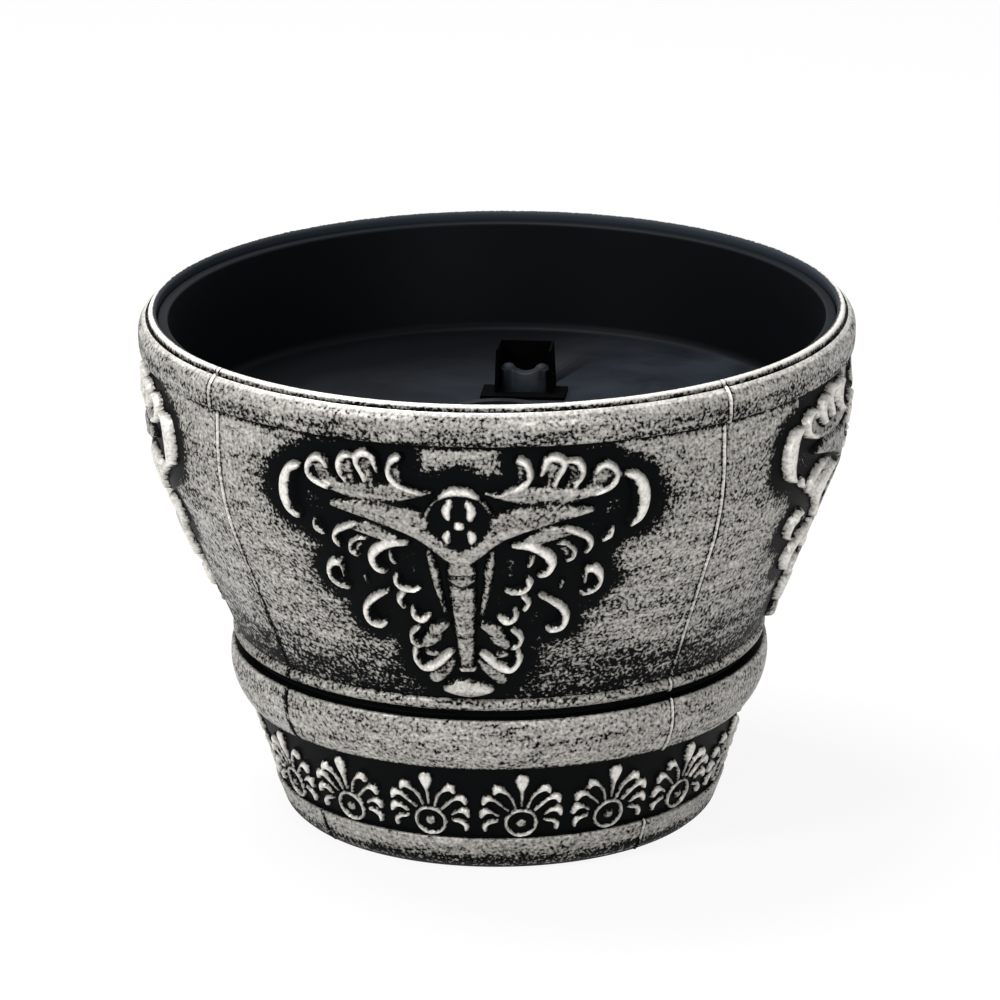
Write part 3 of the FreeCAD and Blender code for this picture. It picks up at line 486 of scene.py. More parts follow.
def smooth_line(values, spacing=0.7):
    """Close samples of a smooth curve through the values, whose first two columns are a place."""
    fewest = 4
    v = np.asarray(values, float)
    count = max(fewest, math.ceil(np.sum(np.hypot(*np.diff(v[:, :2], axis=0).T)) / spacing))
    v = np.vstack([2 * v[0] - v[1], v, 2 * v[-1] - v[-2]])
    spans = len(v) - 3
    s = np.linspace(0, spans, count)
    i = np.minimum(s.astype(int), spans - 1)
    t = (s - i)[:, None]
    a, b, c, d = v[i], v[i + 1], v[i + 2], v[i + 3]
    bend, twist = 2 * a - 5 * b + 4 * c - d, 3 * b - a - 3 * c + d
    return 0.5 * (2 * b + (c - a) * t + bend * t ** 2 + twist * t ** 3)


def dotted(strokes, mirror=1):
    """Close round dots along the strokes: place, half width, height share and silver of each."""
    least_half = 0.4
    dots = []
    for spots, widths, share, paint in strokes:
        for x, z, width in smooth_line(np.column_stack([spots, widths])):
            dots.append((mirror * x, z, max(width / 2, least_half), share, paint))
    return dots


def crown_at(away, half):
    """The height of a round crown at a distance from its middle, from one to none at its edge."""
    return np.clip(1 - (away / half) ** CROWN_FLATNESS, 0, 1) ** (1 / CROWN_FLATNESS)


def carved(dots, cuts, xs, zs, relief, brushed):
    """Height and silver of a relief over a grid: crowns on the dots, and below the wall outside of them."""
    far_off, round_about = 9.0, 3
    gap = np.full((len(zs), len(xs)), far_off)
    rise, paint, crest = np.zeros(gap.shape), np.zeros(gap.shape), np.zeros(gap.shape)
    for x, z, half, share, silver in dots:
        reach = half + round_about
        i, j = np.searchsorted(xs, (x - reach, x + reach))
        k, m = np.searchsorted(zs, (z - reach, z + reach))
        away = np.hypot(xs[None, i:j] - x, zs[k:m, None] - z)
        crown = share * crown_at(away, half)
        higher = crown > rise[k:m, i:j]
        caught, taken = crown / share, higher
        # Brushed, a bright stroke's silver moves to its outer and upper side: a painted highlight
        if brushed and silver == FULL:
            off_x, off_z = x + np.sign(x) * HIGHLIGHT_OUT * half, z + HIGHLIGHT_UP * half
            caught = crown_at(np.hypot(xs[None, i:j] - off_x, zs[k:m, None] - off_z), half)
            taken = higher | ((rise[k:m, i:j] == 0) & (away < half + HIGHLIGHT_REACH))
            caught = np.where(higher, caught, np.maximum(caught, crest[k:m, i:j]))
        paint[k:m, i:j][taken] = np.where(higher, silver, silver * HIGHLIGHT_FOOT)[taken]
        crest[k:m, i:j][taken] = caught[taken]
        rise[k:m, i:j][higher] = crown[higher]
        gap[k:m, i:j] = np.minimum(gap[k:m, i:j], away - half)
    for spots, widths in cuts:
        for x, z, width in smooth_line(np.column_stack([spots, widths])):
            away = np.hypot(xs[None, :] - x, zs[:, None] - z)
            rise = rise * np.clip(away / width, CUT_SHARE, 1)
            left = np.clip((away / width - CUT_SHARE) / CUT_FADE, 0, 1)
            paint = np.where(left < 1, np.minimum(paint, left), paint)
    height = np.where(gap < 0, rise * relief, -gap * SINK)
    paint *= np.clip((crest - CREST_BARE) / (CREST_PAINTED - CREST_BARE), 0, 1)
    for axis in (0, 1):
        height = (np.roll(height, 1, axis) + 2 * height + np.roll(height, -1, axis)) / 4
        paint = (np.roll(paint, 1, axis) + 2 * paint + np.roll(paint, -1, axis)) / 4
    return height, paint


def relief_sheet(dots, cuts, reach, low, high, step, relief, brushed=False):
    """The carved part of a grid: place, height and silver of its points, and its faces."""
    xs, zs = np.arange(-reach, reach + step, step), np.arange(low, high, step)
    height, silver = carved(dots, cuts, xs, zs, relief, brushed)
    above = height > -SUNK_DEPTH
    cells = above[:-1, :-1] | above[1:, :-1] | above[:-1, 1:] | above[1:, 1:]
    index = np.arange(height.size).reshape(height.shape)
    cell_corners = (index[:-1, :-1], index[:-1, 1:], index[1:, 1:], index[1:, :-1])
    faces = np.stack([corner[cells] for corner in cell_corners], 1)
    used, faces = np.unique(faces, return_inverse=True)
    x, z = np.meshgrid(xs, zs)
    return [grid.ravel()[used] for grid in (x, z, height, silver)] + [faces.reshape(-1, 4)]


def on_surface(x, z, proud, radius_at, turn):
    """Points of a front view drawing, proud of a turned surface, with the drawing turned round the axis."""
    slope = radius_at(z + 0.5) - radius_at(z - 0.5)
    tilt = np.hypot(1, slope)
    radius = radius_at(z)
    angle = np.arcsin(np.clip(x / radius, -1, 1)) + turn
    reach = (radius + proud / tilt) * MM
    return np.stack([reach * np.sin(angle), -reach * np.cos(angle), (z - proud * slope / tilt) * MM], -1)


def margin_left(points):
    """How much silver the brush left at points of the bowl: none beside the ornament, all of it far off."""
    every = 3
    radius = np.hypot(points[:, 0], points[:, 1]) / MM
    angle = (np.arctan2(points[:, 0], -points[:, 1]) + QUARTER_TURN / 2) % QUARTER_TURN - QUARTER_TURN / 2
    x, z = np.abs(radius * np.sin(angle)), points[:, 2] / MM
    gap = np.full(len(points), np.inf)
    for dot_x, dot_z, half, _, _ in dotted(MIDDLE_STROKES + SIDE_STROKES)[::every]:
        gap = np.minimum(gap, np.hypot(x - abs(dot_x), z - dot_z) - half)
    near = np.clip((gap - MARGIN_INSIDE) / (MARGIN_OUTSIDE - MARGIN_INSIDE), 0, 1)
    far = np.clip((gap - MARGIN_INSIDE) / (MARGIN_FADE - MARGIN_INSIDE), 0, 1)
    left = near * (MARGIN_SILVER + (1 - MARGIN_SILVER) * far)
    return np.where((z > WAIST_HEIGHT) & (z < ROLL_BOTTOM), left, 1.0)


pot = as_piece("pot_moulding", pot_points, pot_faces, pot_silver * margin_left(pot_points), painted_sheen=pot_painted_sheen)
pot.data.materials.append(ANTIQUE)
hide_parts("pot_shell", "pot_foot")
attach(pot, "pot")
ANTIQUE_RELIEF = antique_plastic("antique_silver_on_smooth_relief", RELIEF_GRAIN)
ornament_dots = dotted(MIDDLE_STROKES) + dotted(SIDE_STROKES) + dotted(SIDE_STROKES, -1)
# Brushed, the bright strokes take a painted highlight on their outer side
ornament_x, ornament_z, ornament_rise, ornament_silver, ornament_faces = relief_sheet(
    ornament_dots, CUTS, ORNAMENT_REACH, ORNAMENT_LOW, ORNAMENT_HIGH, ORNAMENT_STEP, RELIEF, brushed=True)
for number, quarter in enumerate(QUARTERS):
    ornament_points = on_surface(ornament_x, ornament_z, ornament_rise, bowl_radius, number * QUARTER_TURN)
    ornament = as_piece("carving_" + quarter, ornament_points, ornament_faces.tolist(), ornament_silver,
                        closed=False)
    ornament.data.materials.append(ANTIQUE_RELIEF)
    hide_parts("ornament_" + quarter)
    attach(ornament, "pot")

# The palmette frieze
# Sixteen small palmettes in the black hollow above the foot, moulded with the pot: a ring with a bead in it,
# a drop on top and four hooked petals on each side.
PALMETTES = 16
PALMETTE_HEIGHT = FOOT_HEIGHT + 10.2
PALMETTE_RELIEF = 3.0
PALMETTE_STEP = 0.7
PALMETTE_REACH, PALMETTE_LOW, PALMETTE_HIGH = 24.0, -10.5, 33.5
RING_RADIUS = 8.3
RING_WIDTH = 1.8
RING_SHARE = 0.9
RING_DOTS = 60
PETALS = [
    ([(3.4, 10), (5.4, 16), (9, 20.4), (13.4, 23), (15.2, 19.8)], [1.4, 1.5, 1.9, 4.8, 2], 1.0, FULL),
    ([(7.2, 8.2), (11.8, 12.6), (15.6, 15.8), (19.4, 16.6), (21, 12.8)], [1.4, 1.7, 2, 4.8, 2], 1.0, FULL),
    ([(12.6, 5), (16.6, 7.8), (20.4, 8), (21.8, 4.4)], [1.4, 1.9, 4.6, 2.2], 1.0, FULL),
    ([(12.8, 1.6), (17.4, 0.8), (19.8, -1.6), (19.4, -4.8)], [1.4, 2.6, 3.2, 1.8], 1.0, FULL),
]
DROP = ([(0, 11), (0, 17), (0, 21.5), (0, 25), (0, 28.4)], [1.2, 1.6, 2.6, 6, 8.4], 1.0, FULL)
RING_BEAD = ([(-0.3, 0), (0.3, 0)], [6, 6], 0.75, WORN)


def frieze_radius(z):
    share = (z - FOOT_HEIGHT) / (BAND_BOTTOM - FOOT_HEIGHT)
    return FRIEZE_FOOT_RADIUS + (FRIEZE_TOP_RADIUS - FRIEZE_FOOT_RADIUS) * share


ring_turns = np.arange(RING_DOTS) * 2 * math.pi / RING_DOTS
ring_dots = [(RING_RADIUS * math.cos(t), RING_RADIUS * math.sin(t), RING_WIDTH / 2, RING_SHARE, FULL)
             for t in ring_turns]
palmette_dots = ring_dots + dotted([DROP, RING_BEAD]) + dotted(PETALS) + dotted(PETALS, -1)
palmette_x, palmette_z, palmette_rise, palmette_silver, palmette_faces = relief_sheet(
    palmette_dots, [], PALMETTE_REACH, PALMETTE_LOW, PALMETTE_HIGH, PALMETTE_STEP, PALMETTE_RELIEF)
frieze_points, frieze_faces = [], []
for number in range(PALMETTES):
    turn = (number + 0.5) * 2 * math.pi / PALMETTES
    frieze_faces += (palmette_faces + number * len(palmette_x)).tolist()
    frieze_points.append(on_surface(palmette_x, palmette_z + PALMETTE_HEIGHT, palmette_rise,
                                    frieze_radius, turn))
frieze = as_piece("palmette_carving", np.concatenate(frieze_points), frieze_faces,
                  np.tile(palmette_silver, PALMETTES), closed=False)
frieze.data.materials.append(ANTIQUE_RELIEF)
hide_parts("palmette_frieze")
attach(frieze, "pot")

# The drain seal and plug
# A flat ring of soft rubber under the head of a polypropylene plug, dropped in from inside the pot.
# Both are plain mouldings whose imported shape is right, so they only get their finish.
RUBBER, RUBBER_DUST = "#1b1b1c", "#4a4846"
PLUG_BLACK, PLUG_SCUFF = "#17181a", "#3b3d40"


def moulded(name, colour, worn, grain, patch, rough, coverage, specular=0.3):
    # Injection-moulded plastic or rubber: an even colour, scuffed paler in soft patches, with a fine grain
    # from the etched mould. Grain and patch are widths in millimetres.
    scuff_starts, scuff_covers, scuff_dulls = 0.4, 0.75, 0.25
    material = bpy.data.materials.new(name)
    material.use_nodes = True
    tree = material.node_tree
    shader = tree.nodes["Principled BSDF"]
    place = add(tree, "ShaderNodeTexCoord")
    pits = add(tree, "ShaderNodeTexNoise", {"Scale": 1 / (grain * MM), "Detail": 2.0},
               {"Vector": place.outputs["Object"]})
    patches = add(tree, "ShaderNodeTexNoise", {"Scale": 1 / (patch * MM), "Detail": 5.0, "Roughness": 0.6},
                  {"Vector": place.outputs["Object"]})
    shader.inputs["Specular IOR Level"].default_value = specular
    scuffed = add(tree, "ShaderNodeMapRange",
                  {"From Min": scuff_starts, "From Max": scuff_covers, "To Max": coverage},
                  {"Value": patches.outputs["Fac"]})
    paint = add(tree, "ShaderNodeMix", {"data_type": "RGBA", 6: linear(colour), 7: linear(worn)},
                {0: scuffed.outputs["Result"]})
    gloss = add(tree, "ShaderNodeMapRange", {"To Min": rough, "To Max": rough + scuff_dulls},
                {"Value": patches.outputs["Fac"]})
    bump = add(tree, "ShaderNodeBump", {"Strength": 0.25, "Distance": 0.15 * MM},
               {"Height": pits.outputs["Fac"]})
    for socket, source in (("Base Color", paint.outputs[2]), ("Roughness", gloss.outputs["Result"]),
                           ("Normal", bump.outputs["Normal"])):
        tree.links.new(source, shader.inputs[socket])
    return material


def finish_node(node, material):
    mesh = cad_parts[node].data
    mesh.materials.clear()
    mesh.materials.append(material)


finish_node("drain_seal", moulded("soft_black_rubber", RUBBER, RUBBER_DUST,
                                  grain=0.8, patch=14, rough=0.6, coverage=0.5))
finish_node("drain_plug", moulded("scuffed_black_polypropylene", PLUG_BLACK, PLUG_SCUFF,
                                  grain=0.7, patch=18, rough=0.32, coverage=0.5))

# The planting tray
# A black polypropylene bowl with a flat floor, which hangs by its lip on the ledge inside the rim.
# Its wall is glossy from the mould, dust has settled on its floor, and painted shade darkens the floor's back
# and left.
TRAY_LOW, TRAY_HIGH = [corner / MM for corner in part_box("planting_tray")]
TRAY_LIP_RADIUS = TRAY_HIGH.x
TRAY_LIP_TOP = TRAY_HIGH.z
TRAY_LIP_BOTTOM = TRAY_LIP_TOP - 2.5
TRAY_WALL_RADIUS = LEDGE_RADIUS - 0.6
TRAY_FLOOR_RADIUS = TRAY_WALL_RADIUS - 6.2
TRAY_WALL = 2.5
TRAY_UNDERSIDE = TRAY_LOW.z
TRAY_FLOOR = TRAY_UNDERSIDE + 3.0
TRAY_COLUMNS = 160
BASKET_HOLE_RADIUS = 30.0
FILL_HOLE_RADIUS = 9.0
TOWER_LOW, TOWER_HIGH = [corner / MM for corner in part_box("float_tower")]
TOWER_X = (TOWER_LOW.x + TOWER_HIGH.x) / 2
TOWER_FRONT = 18.0
TOWER_Y = TOWER_LOW.y + TOWER_FRONT
# The tray's black, its dust, and the grey of a painted sheen on its lip, down to the depth below
TRAY_BLACK, TRAY_DUST, TRAY_LIP_PAINTED_SHEEN = "#040507", "#22272e", "#111417"
TRAY_LIP_PAINTED_SHEEN_DEPTH = 1.6
# Where the floor is darkest, with thin dust and painted shade, and where it is lightest, in metres along the
# direction below
SHADED_THIN_DUST_AT, LIT_THICK_DUST_AT = -0.16, -0.03
DUST_AND_SHADE_DIRECTION = (0.7, -1, 0)


def turned_piece(name, path, columns):
    profile = np.array(softened([(r, z, rounding, 0) for r, z, rounding in path]))[:, :2] * MM
    turns = np.arange(columns) * 2 * math.pi / columns
    points = np.stack([profile[:, 0, None] * np.sin(turns), -profile[:, 0, None] * np.cos(turns),
                       np.repeat(profile[:, 1, None], columns, axis=1)], -1).reshape(-1, 3)
    return as_piece(name, points, turned_faces(len(profile), columns))


def settled(piece):
    """Takes the piece's modifiers into its mesh."""
    view = bpy.context.evaluated_depsgraph_get()
    mesh = bpy.data.meshes.new_from_object(piece.evaluated_get(view))
    piece.modifiers.clear()
    piece.data = mesh


def bored(piece, x, y, z, radius, columns=48):
    """Cuts an upright round hole through the floor of a piece."""
    reach = 20.0
    rings = [[(x + radius * math.cos(t), y + radius * math.sin(t), z + end)
              for t in np.arange(columns) * 2 * math.pi / columns] for end in (-reach, reach)]
    faces = [(k, (k + 1) % columns, columns + (k + 1) % columns, columns + k) for k in range(columns)]
    faces += [tuple(range(columns)), tuple(range(columns, 2 * columns))]
    drill = as_piece("drill", np.array(rings[0] + rings[1]) * MM, faces)
    cut = piece.modifiers.new("hole", "BOOLEAN")
    cut.operation = "DIFFERENCE"
    cut.solver = "EXACT"
    cut.object = drill
    settled(piece)
    bpy.data.objects.remove(drill)


def dusty_plastic_with_painted_light():
    # Glossy black polypropylene that looks blue-black in reflected light. Potting dust lies on what faces up,
    # in smears of about 45 mm, and leaves the steep wall clean. It thins out towards the back and the left,
    # which also paints the shade that the tray's walls cast on the floor there. The lip is coloured grey as a
    # painted sheen.
    smear_width, dust_width = 45.0, 1.2
    # Upward parts of the surface's normal: too steep for dust, and flat
    steep, flat = 0.8, 0.99
    dust_starts, dust_covers, dust_least = 0.3, 0.75, 0.2
    clean_rough, dusty_rough = 0.5, 0.75
    material = bpy.data.materials.new("dusty_black_polypropylene_with_painted_light")
    material.use_nodes = True
    tree = material.node_tree
    shader = tree.nodes["Principled BSDF"]
    place = add(tree, "ShaderNodeTexCoord")
    geometry = add(tree, "ShaderNodeNewGeometry")
    facing = add(tree, "ShaderNodeSeparateXYZ", links={"Vector": geometry.outputs["Normal"]})
    upward = add(tree, "ShaderNodeMapRange", {"From Min": steep, "From Max": flat},
                 {"Value": facing.outputs["Z"]})
    smears = add(tree, "ShaderNodeTexNoise",
                 {"Scale": 1 / (smear_width * MM), "Detail": 5.0, "Roughness": 0.62, "Distortion": 0.6},
                 {"Vector": place.outputs["Object"]})
    dust = add(tree, "ShaderNodeTexNoise", {"Scale": 1 / (dust_width * MM), "Detail": 2.0},
               {"Vector": place.outputs["Object"]})
    lying = add(tree, "ShaderNodeMapRange",
                {"From Min": dust_starts, "From Max": dust_covers, "To Min": dust_least},
                {"Value": smears.outputs["Fac"]})
    dust_and_shade_along = add(tree, "ShaderNodeVectorMath", {"operation": "DOT_PRODUCT", 1: DUST_AND_SHADE_DIRECTION},
                {0: place.outputs["Object"]})
    # The dust thins out, and painted shade deepens, towards the back and the left
    amount = add(tree, "ShaderNodeMapRange", {"From Min": SHADED_THIN_DUST_AT, "From Max": LIT_THICK_DUST_AT},
                 {"Value": dust_and_shade_along.outputs["Value"]})
    cover = add(tree, "ShaderNodeMath", {"operation": "MULTIPLY"},
                {0: lying.outputs["Result"], 1: upward.outputs["Result"]})
    cover = add(tree, "ShaderNodeMath", {"operation": "MULTIPLY"},
                {0: cover.outputs[0], 1: amount.outputs["Result"]})
    dusted = add(tree, "ShaderNodeMix", {"data_type": "RGBA", 6: linear(TRAY_BLACK), 7: linear(TRAY_DUST)},
                 {0: cover.outputs[0]})
    height = add(tree, "ShaderNodeSeparateXYZ", links={"Vector": place.outputs["Object"]})
    # A painted sheen: the top of the lip is coloured grey
    painted_sheen = add(tree, "ShaderNodeMapRange",
                 {"From Min": (TRAY_LIP_TOP - TRAY_LIP_PAINTED_SHEEN_DEPTH) * MM, "From Max": TRAY_LIP_TOP * MM},
                 {"Value": height.outputs["Z"]})
    colour = add(tree, "ShaderNodeMix", {"data_type": "RGBA", 7: linear(TRAY_LIP_PAINTED_SHEEN)},
                 {0: painted_sheen.outputs["Result"], 6: dusted.outputs[2]})
    rough = add(tree, "ShaderNodeMapRange", {"To Min": clean_rough, "To Max": dusty_rough},
                {"Value": cover.outputs[0]})
    shader.inputs["Specular IOR Level"].default_value = 0.045
    grain = add(tree, "ShaderNodeBump", {"Strength": 0.2, "Distance": 0.1 * MM},
                {"Height": dust.outputs["Fac"]})
    for socket, source in (("Base Color", colour.outputs[2]), ("Roughness", rough.outputs["Result"]),
                           ("Normal", grain.outputs["Normal"])):
        tree.links.new(source, shader.inputs[socket])
    return material


tray = turned_piece("planting_bowl", [
    (BASKET_HOLE_RADIUS, TRAY_UNDERSIDE, 0.5), (TRAY_FLOOR_RADIUS, TRAY_UNDERSIDE, 5),
    (TRAY_WALL_RADIUS, TRAY_LIP_BOTTOM, 0.8), (TRAY_LIP_RADIUS, TRAY_LIP_BOTTOM, 0.5),
    (TRAY_LIP_RADIUS, TRAY_LIP_TOP, 0.9), (TRAY_WALL_RADIUS - TRAY_WALL, TRAY_LIP_TOP, 1.5),
    (TRAY_FLOOR_RADIUS - TRAY_WALL, TRAY_FLOOR, 5), (BASKET_HOLE_RADIUS, TRAY_FLOOR, 0.8)], TRAY_COLUMNS)
bored(tray, TOWER_X, TOWER_Y, TRAY_FLOOR, FILL_HOLE_RADIUS)
tray.data.materials.append(dusty_plastic_with_painted_light())
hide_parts("planting_tray")
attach(tray, "tray")

# The wick basket
# A slotted black polypropylene cone, filled with soil, which hangs in the tray and reaches down into the
# water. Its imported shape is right, so it only gets its finish.
BASKET_BLACK, BASKET_SCUFF = "#0e1013", "#2f3338"
finish_node("wick_basket", moulded("black_basket_polypropylene", BASKET_BLACK, BASKET_SCUFF,
                                   grain=0.8, patch=25, rough=0.45, coverage=0.5, specular=0.1))

# The float tower
# A three-walled black polypropylene upright, open to the front, on a flange that sits on the tray floor.
# It guides the level cap and keeps the soil off it.
TOWER_WELL, TOWER_WELL_DEPTH = 14.4, 9.4
TOWER_WALL = 2.2
TOWER_DRAFT = 1.0
TOWER_FLANGE = 2.0
TOWER_FLANGE_BACK = 4.0
TOWER_EDGE = 0.4
FLANGE_HALF = (TOWER_HIGH.x - TOWER_LOW.x) / 2
TOWER_BLACK, TOWER_SCUFF = "#020202", "#050506"


def gathered(name, parts):
    points, faces, base = [], [], 0
    for spots, part_faces in parts:
        points.append(spots)
        faces += [tuple(base + i for i in face) for face in part_faces]
        base += len(spots)
    return as_piece(name, np.concatenate(points), faces)


def between(low_plan, high_plan, low, high):
    """A closed block between two plans with as many corners, at two heights, from the tower's axis."""
    count = len(low_plan)
    points = [(TOWER_X + x, TOWER_Y + y, low) for x, y in low_plan]
    points += [(TOWER_X + x, TOWER_Y + y, high) for x, y in high_plan]
    faces = [(k, (k + 1) % count, count + (k + 1) % count, count + k) for k in range(count)]
    faces += [tuple(range(count)), tuple(range(count, 2 * count))]
    return np.array(points) * MM, faces


def wall_plan(wall):
    x, y = TOWER_WELL + wall, TOWER_WELL_DEPTH + wall
    return [(-x, -y), (-TOWER_WELL, -y), (-TOWER_WELL, TOWER_WELL_DEPTH), (TOWER_WELL, TOWER_WELL_DEPTH),
            (TOWER_WELL, -y), (x, -y), (x, y), (-x, y)]


def flange_strip(x0, x1, y0, y1):
    plan = [(x0, y0), (x1, y0), (x1, y1), (x0, y1)]
    return between(plan, plan, TOWER_LOW.z, TOWER_LOW.z + TOWER_FLANGE)


tower = gathered("float_tower_moulding", [
    between(wall_plan(TOWER_WALL), wall_plan(TOWER_WALL - TOWER_DRAFT),
            TOWER_LOW.z + TOWER_EDGE, TOWER_HIGH.z),
    flange_strip(-FLANGE_HALF, -TOWER_WELL, -TOWER_FRONT, TOWER_FLANGE_BACK),
    flange_strip(TOWER_WELL, FLANGE_HALF, -TOWER_FRONT, TOWER_FLANGE_BACK),
    flange_strip(-TOWER_WELL, TOWER_WELL, -TOWER_FRONT, -TOWER_WELL_DEPTH)])
edges = tower.modifiers.new("moulded_edges", "BEVEL")
edges.width = TOWER_EDGE * MM
edges.segments = 3
settled(tower)
tower.data.materials.append(moulded("clean_black_polypropylene", TOWER_BLACK, TOWER_SCUFF,
                                    grain=0.7, patch=20, rough=0.6, coverage=0.6, specular=0.015))
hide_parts("float_tower")
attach(tower, "tray")

# The float
# A sealed puck that rides on the water, a rod through the hole in the tray, and a cap of two domed posts that
# shows the level in the tower: dark grey polypropylene, snapped together.
CAP_LOW, CAP_HIGH = [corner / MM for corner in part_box("level_cap")]
CAP_POST_OFFSET = 9.6
CAP_POST_RADIUS = 4.4
CAP_WEB_HALF = 4.2
CAP_WEB_TOP = CAP_LOW.z + 10.9
CAP_DOME_TOP = CAP_HIGH.z - 1.4
CAP_HOLLOW, CAP_HOLLOW_HALF = 2.2, 6.4
CAP_EDGE = 0.7
CAP_BLEND = 1.2
CAP_ROWS = 57
# Where the points lie across the cap, as shares of its half depth
CAP_SHARES = (-1, -0.97, -0.88, -0.7, -0.4, 0, 0.4, 0.7, 0.88, 0.97, 1)
FLOAT_GREY, FLOAT_DUST = "#14181c", "#2b3036"


def cap_half_depth(x):
    """Half the depth of the cap: round at its two posts, and as deep as the web between them."""
    least = 0.01
    round_end = np.sqrt(np.maximum(CAP_POST_RADIUS ** 2 - (np.abs(x) - CAP_POST_OFFSET) ** 2, least))
    return np.where(np.abs(x) > CAP_POST_OFFSET, round_end, np.maximum(round_end, CAP_WEB_HALF))


def cap_top(x, y):
    """The height of the cap's top: a dome on each post, which runs into the hollow top of the web."""
    away = np.hypot(np.abs(x) - CAP_POST_OFFSET, y)
    dome = CAP_DOME_TOP - CAP_POST_RADIUS + np.sqrt(np.maximum(CAP_POST_RADIUS ** 2 - away ** 2, 0))
    hollow = CAP_HOLLOW * np.minimum(np.abs(x) / CAP_HOLLOW_HALF, 1) ** 2
    web = CAP_WEB_TOP + hollow - CAP_EDGE * (y / CAP_WEB_HALF) ** 6
    dome = np.where(away < CAP_POST_RADIUS, dome, CAP_LOW.z)
    fillet = CAP_BLEND / 2 * np.exp(-np.abs(dome - web) / CAP_BLEND) * (np.abs(x) < CAP_POST_OFFSET)
    return np.maximum(dome, web) + fillet


def level_cap():
    xs = (CAP_POST_OFFSET + CAP_POST_RADIUS) * np.sin(np.linspace(-math.pi / 2, math.pi / 2, CAP_ROWS))
    x = np.repeat(xs[:, None], len(CAP_SHARES), 1)
    y = cap_half_depth(x) * np.array(CAP_SHARES)
    top = np.stack([TOWER_X + x, TOWER_Y + y, cap_top(x, y)], -1).reshape(-1, 3)
    foot = top.copy()
    foot[:, 2] = CAP_LOW.z
    across, count = len(CAP_SHARES), len(top)
    faces = []
    for i in range(CAP_ROWS - 1):
        for j in range(across - 1):
            cell = [i * across + j, i * across + j + 1, (i + 1) * across + j + 1, (i + 1) * across + j]
            faces += [tuple(cell), tuple(count + k for k in reversed(cell))]
    edge = [i * across for i in range(CAP_ROWS)] + [(CAP_ROWS - 1) * across + j for j in range(1, across)]
    edge += [i * across + across - 1 for i in range(CAP_ROWS - 2, -1, -1)] + list(range(across - 2, 0, -1))
    faces += [(a, b, count + b, count + a) for a, b in zip(edge, edge[1:] + edge[:1])]
    return as_piece("level_cap_moulding", np.concatenate([top, foot]) * MM, faces)


FLOAT_PLASTIC = moulded("dusty_grey_polypropylene", FLOAT_GREY, FLOAT_DUST,
                        grain=0.8, patch=9, rough=0.5, coverage=0.8, specular=0.12)
cap = level_cap()
cap.data.materials.append(FLOAT_PLASTIC)
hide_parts("level_cap")
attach(cap, "float")
finish_node("float_rod", FLOAT_PLASTIC)
finish_node("float_puck", FLOAT_PLASTIC)

# The studio
# A white floor that keeps the pot's shadow, with soft lamps above, at the front left and at the front right.
# The pot is seen from a little above the rim, through a long lens.
FLOOR_HALF = 6.0
FLOOR_COLOUR = "#f4f4f4"
FLOOR_WHITENESS = 0.9
WORLD_LIGHT = 0.22
CAMERA_TURN = math.radians(6.2)
CAMERA_LIFT = math.radians(18.0)
CAMERA_ROLL = math.radians(-0.435)
CAMERA_AIM = Vector((0, 0, 0.1765))
CAMERA_DISTANCE = 3.794
CAMERA_LENS = 242.8
CAMERA_SHIFT = 0.0018
LAMPS = [
    # name, place, size, watts
    ("key_lamp", (-1.8, -2.0, 2.0), 0.8, 54),
    ("top_lamp", (-0.6, 0.3, 2.6), 1.2, 88),
    ("right_lamp", (1.2, -2.7, 1.1), 1.2, 29),
]


def seen_directly(tree):
    """One where a surface is seen by the camera, or in gloss or glass."""
    path = add(tree, "ShaderNodeLightPath")
    either = add(tree, "ShaderNodeMath", {"operation": "MAXIMUM"},
                 {0: path.outputs["Is Camera Ray"], 1: path.outputs["Is Glossy Ray"]})
    return add(tree, "ShaderNodeMath", {"operation": "MAXIMUM"},
               {0: either.outputs[0], 1: path.outputs["Is Transmission Ray"]}).outputs[0]


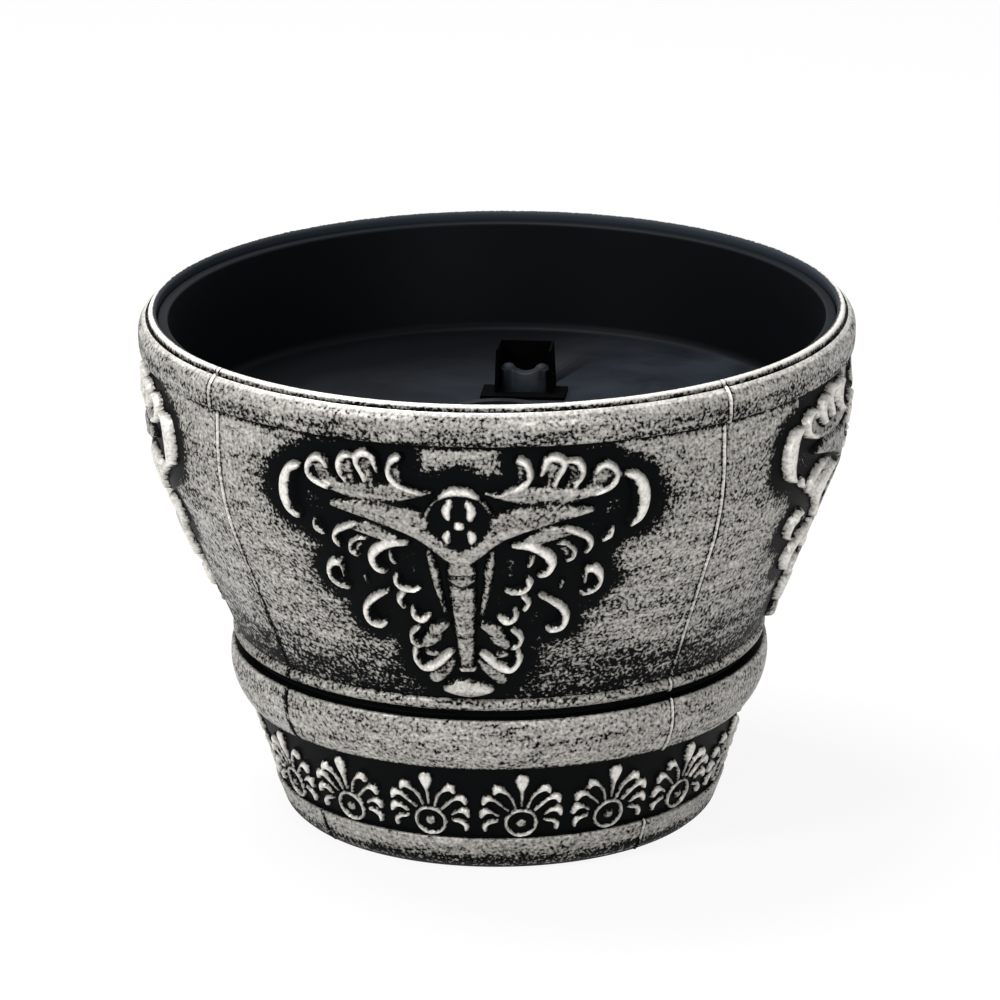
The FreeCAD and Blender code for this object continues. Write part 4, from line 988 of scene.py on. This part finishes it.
def white_floor():
    material = bpy.data.materials.new("white_paper_floor")
    material.use_nodes = True
    tree = material.node_tree
    tree.nodes.remove(tree.nodes["Principled BSDF"])
    paper = add(tree, "ShaderNodeBsdfDiffuse", {"Color": linear(FLOOR_COLOUR)})
    glow = add(tree, "ShaderNodeEmission", {"Strength": 1.0})
    share = add(tree, "ShaderNodeMath", {"operation": "MULTIPLY", 1: FLOOR_WHITENESS},
                {0: seen_directly(tree)})
    mixed = add(tree, "ShaderNodeMixShader",
                links={0: share.outputs[0], 1: paper.outputs[0], 2: glow.outputs[0]})
    tree.links.new(mixed.outputs[0], tree.nodes["Material Output"].inputs["Surface"])
    return material


def white_world():
    world = bpy.data.worlds.new("white_studio")
    world.use_nodes = True
    tree = world.node_tree
    light = add(tree, "ShaderNodeMapRange", {"To Min": WORLD_LIGHT, "To Max": 1.0},
                {"Value": seen_directly(tree)})
    background = tree.nodes["Background"]
    background.inputs["Color"].default_value = (1, 1, 1, 1)
    tree.links.new(light.outputs["Result"], background.inputs["Strength"])
    bpy.context.scene.world = world


def hang_lamp(name, place, size, watts):
    lamp = bpy.data.lights.new(name, "AREA")
    lamp.energy = watts
    lamp.size = size
    holder = bpy.data.objects.new(name, lamp)
    holder.location = place
    holder.rotation_euler = (CAMERA_AIM - Vector(place)).to_track_quat("-Z", "Y").to_euler()
    bpy.context.scene.collection.objects.link(holder)


def set_camera():
    lens = bpy.data.cameras.new("camera")
    lens.lens = CAMERA_LENS
    lens.sensor_width = 36.0
    lens.shift_x = CAMERA_SHIFT
    lens.clip_end = 50
    camera = bpy.data.objects.new("camera", lens)
    bpy.context.scene.collection.objects.link(camera)
    level = math.cos(CAMERA_LIFT)
    away = Vector((math.sin(CAMERA_TURN) * level, -math.cos(CAMERA_TURN) * level, math.sin(CAMERA_LIFT)))
    facing = (-away).to_track_quat("-Z", "Y").to_matrix() @ Matrix.Rotation(CAMERA_ROLL, 3, "Z")
    camera.matrix_world = Matrix.Translation(CAMERA_AIM + away * CAMERA_DISTANCE) @ facing.to_4x4()
    bpy.context.scene.camera = camera


corners = [(-FLOOR_HALF, -FLOOR_HALF, 0), (FLOOR_HALF, -FLOOR_HALF, 0), (FLOOR_HALF, FLOOR_HALF, 0),
           (-FLOOR_HALF, FLOOR_HALF, 0)]
floor = as_piece("paper_floor", corners, [(0, 1, 2, 3)])
floor.data.materials.append(white_floor())
white_world()
for lamp in LAMPS:
    hang_lamp(*lamp)
set_camera()
bpy.context.scene.view_settings.view_transform = "Standard"
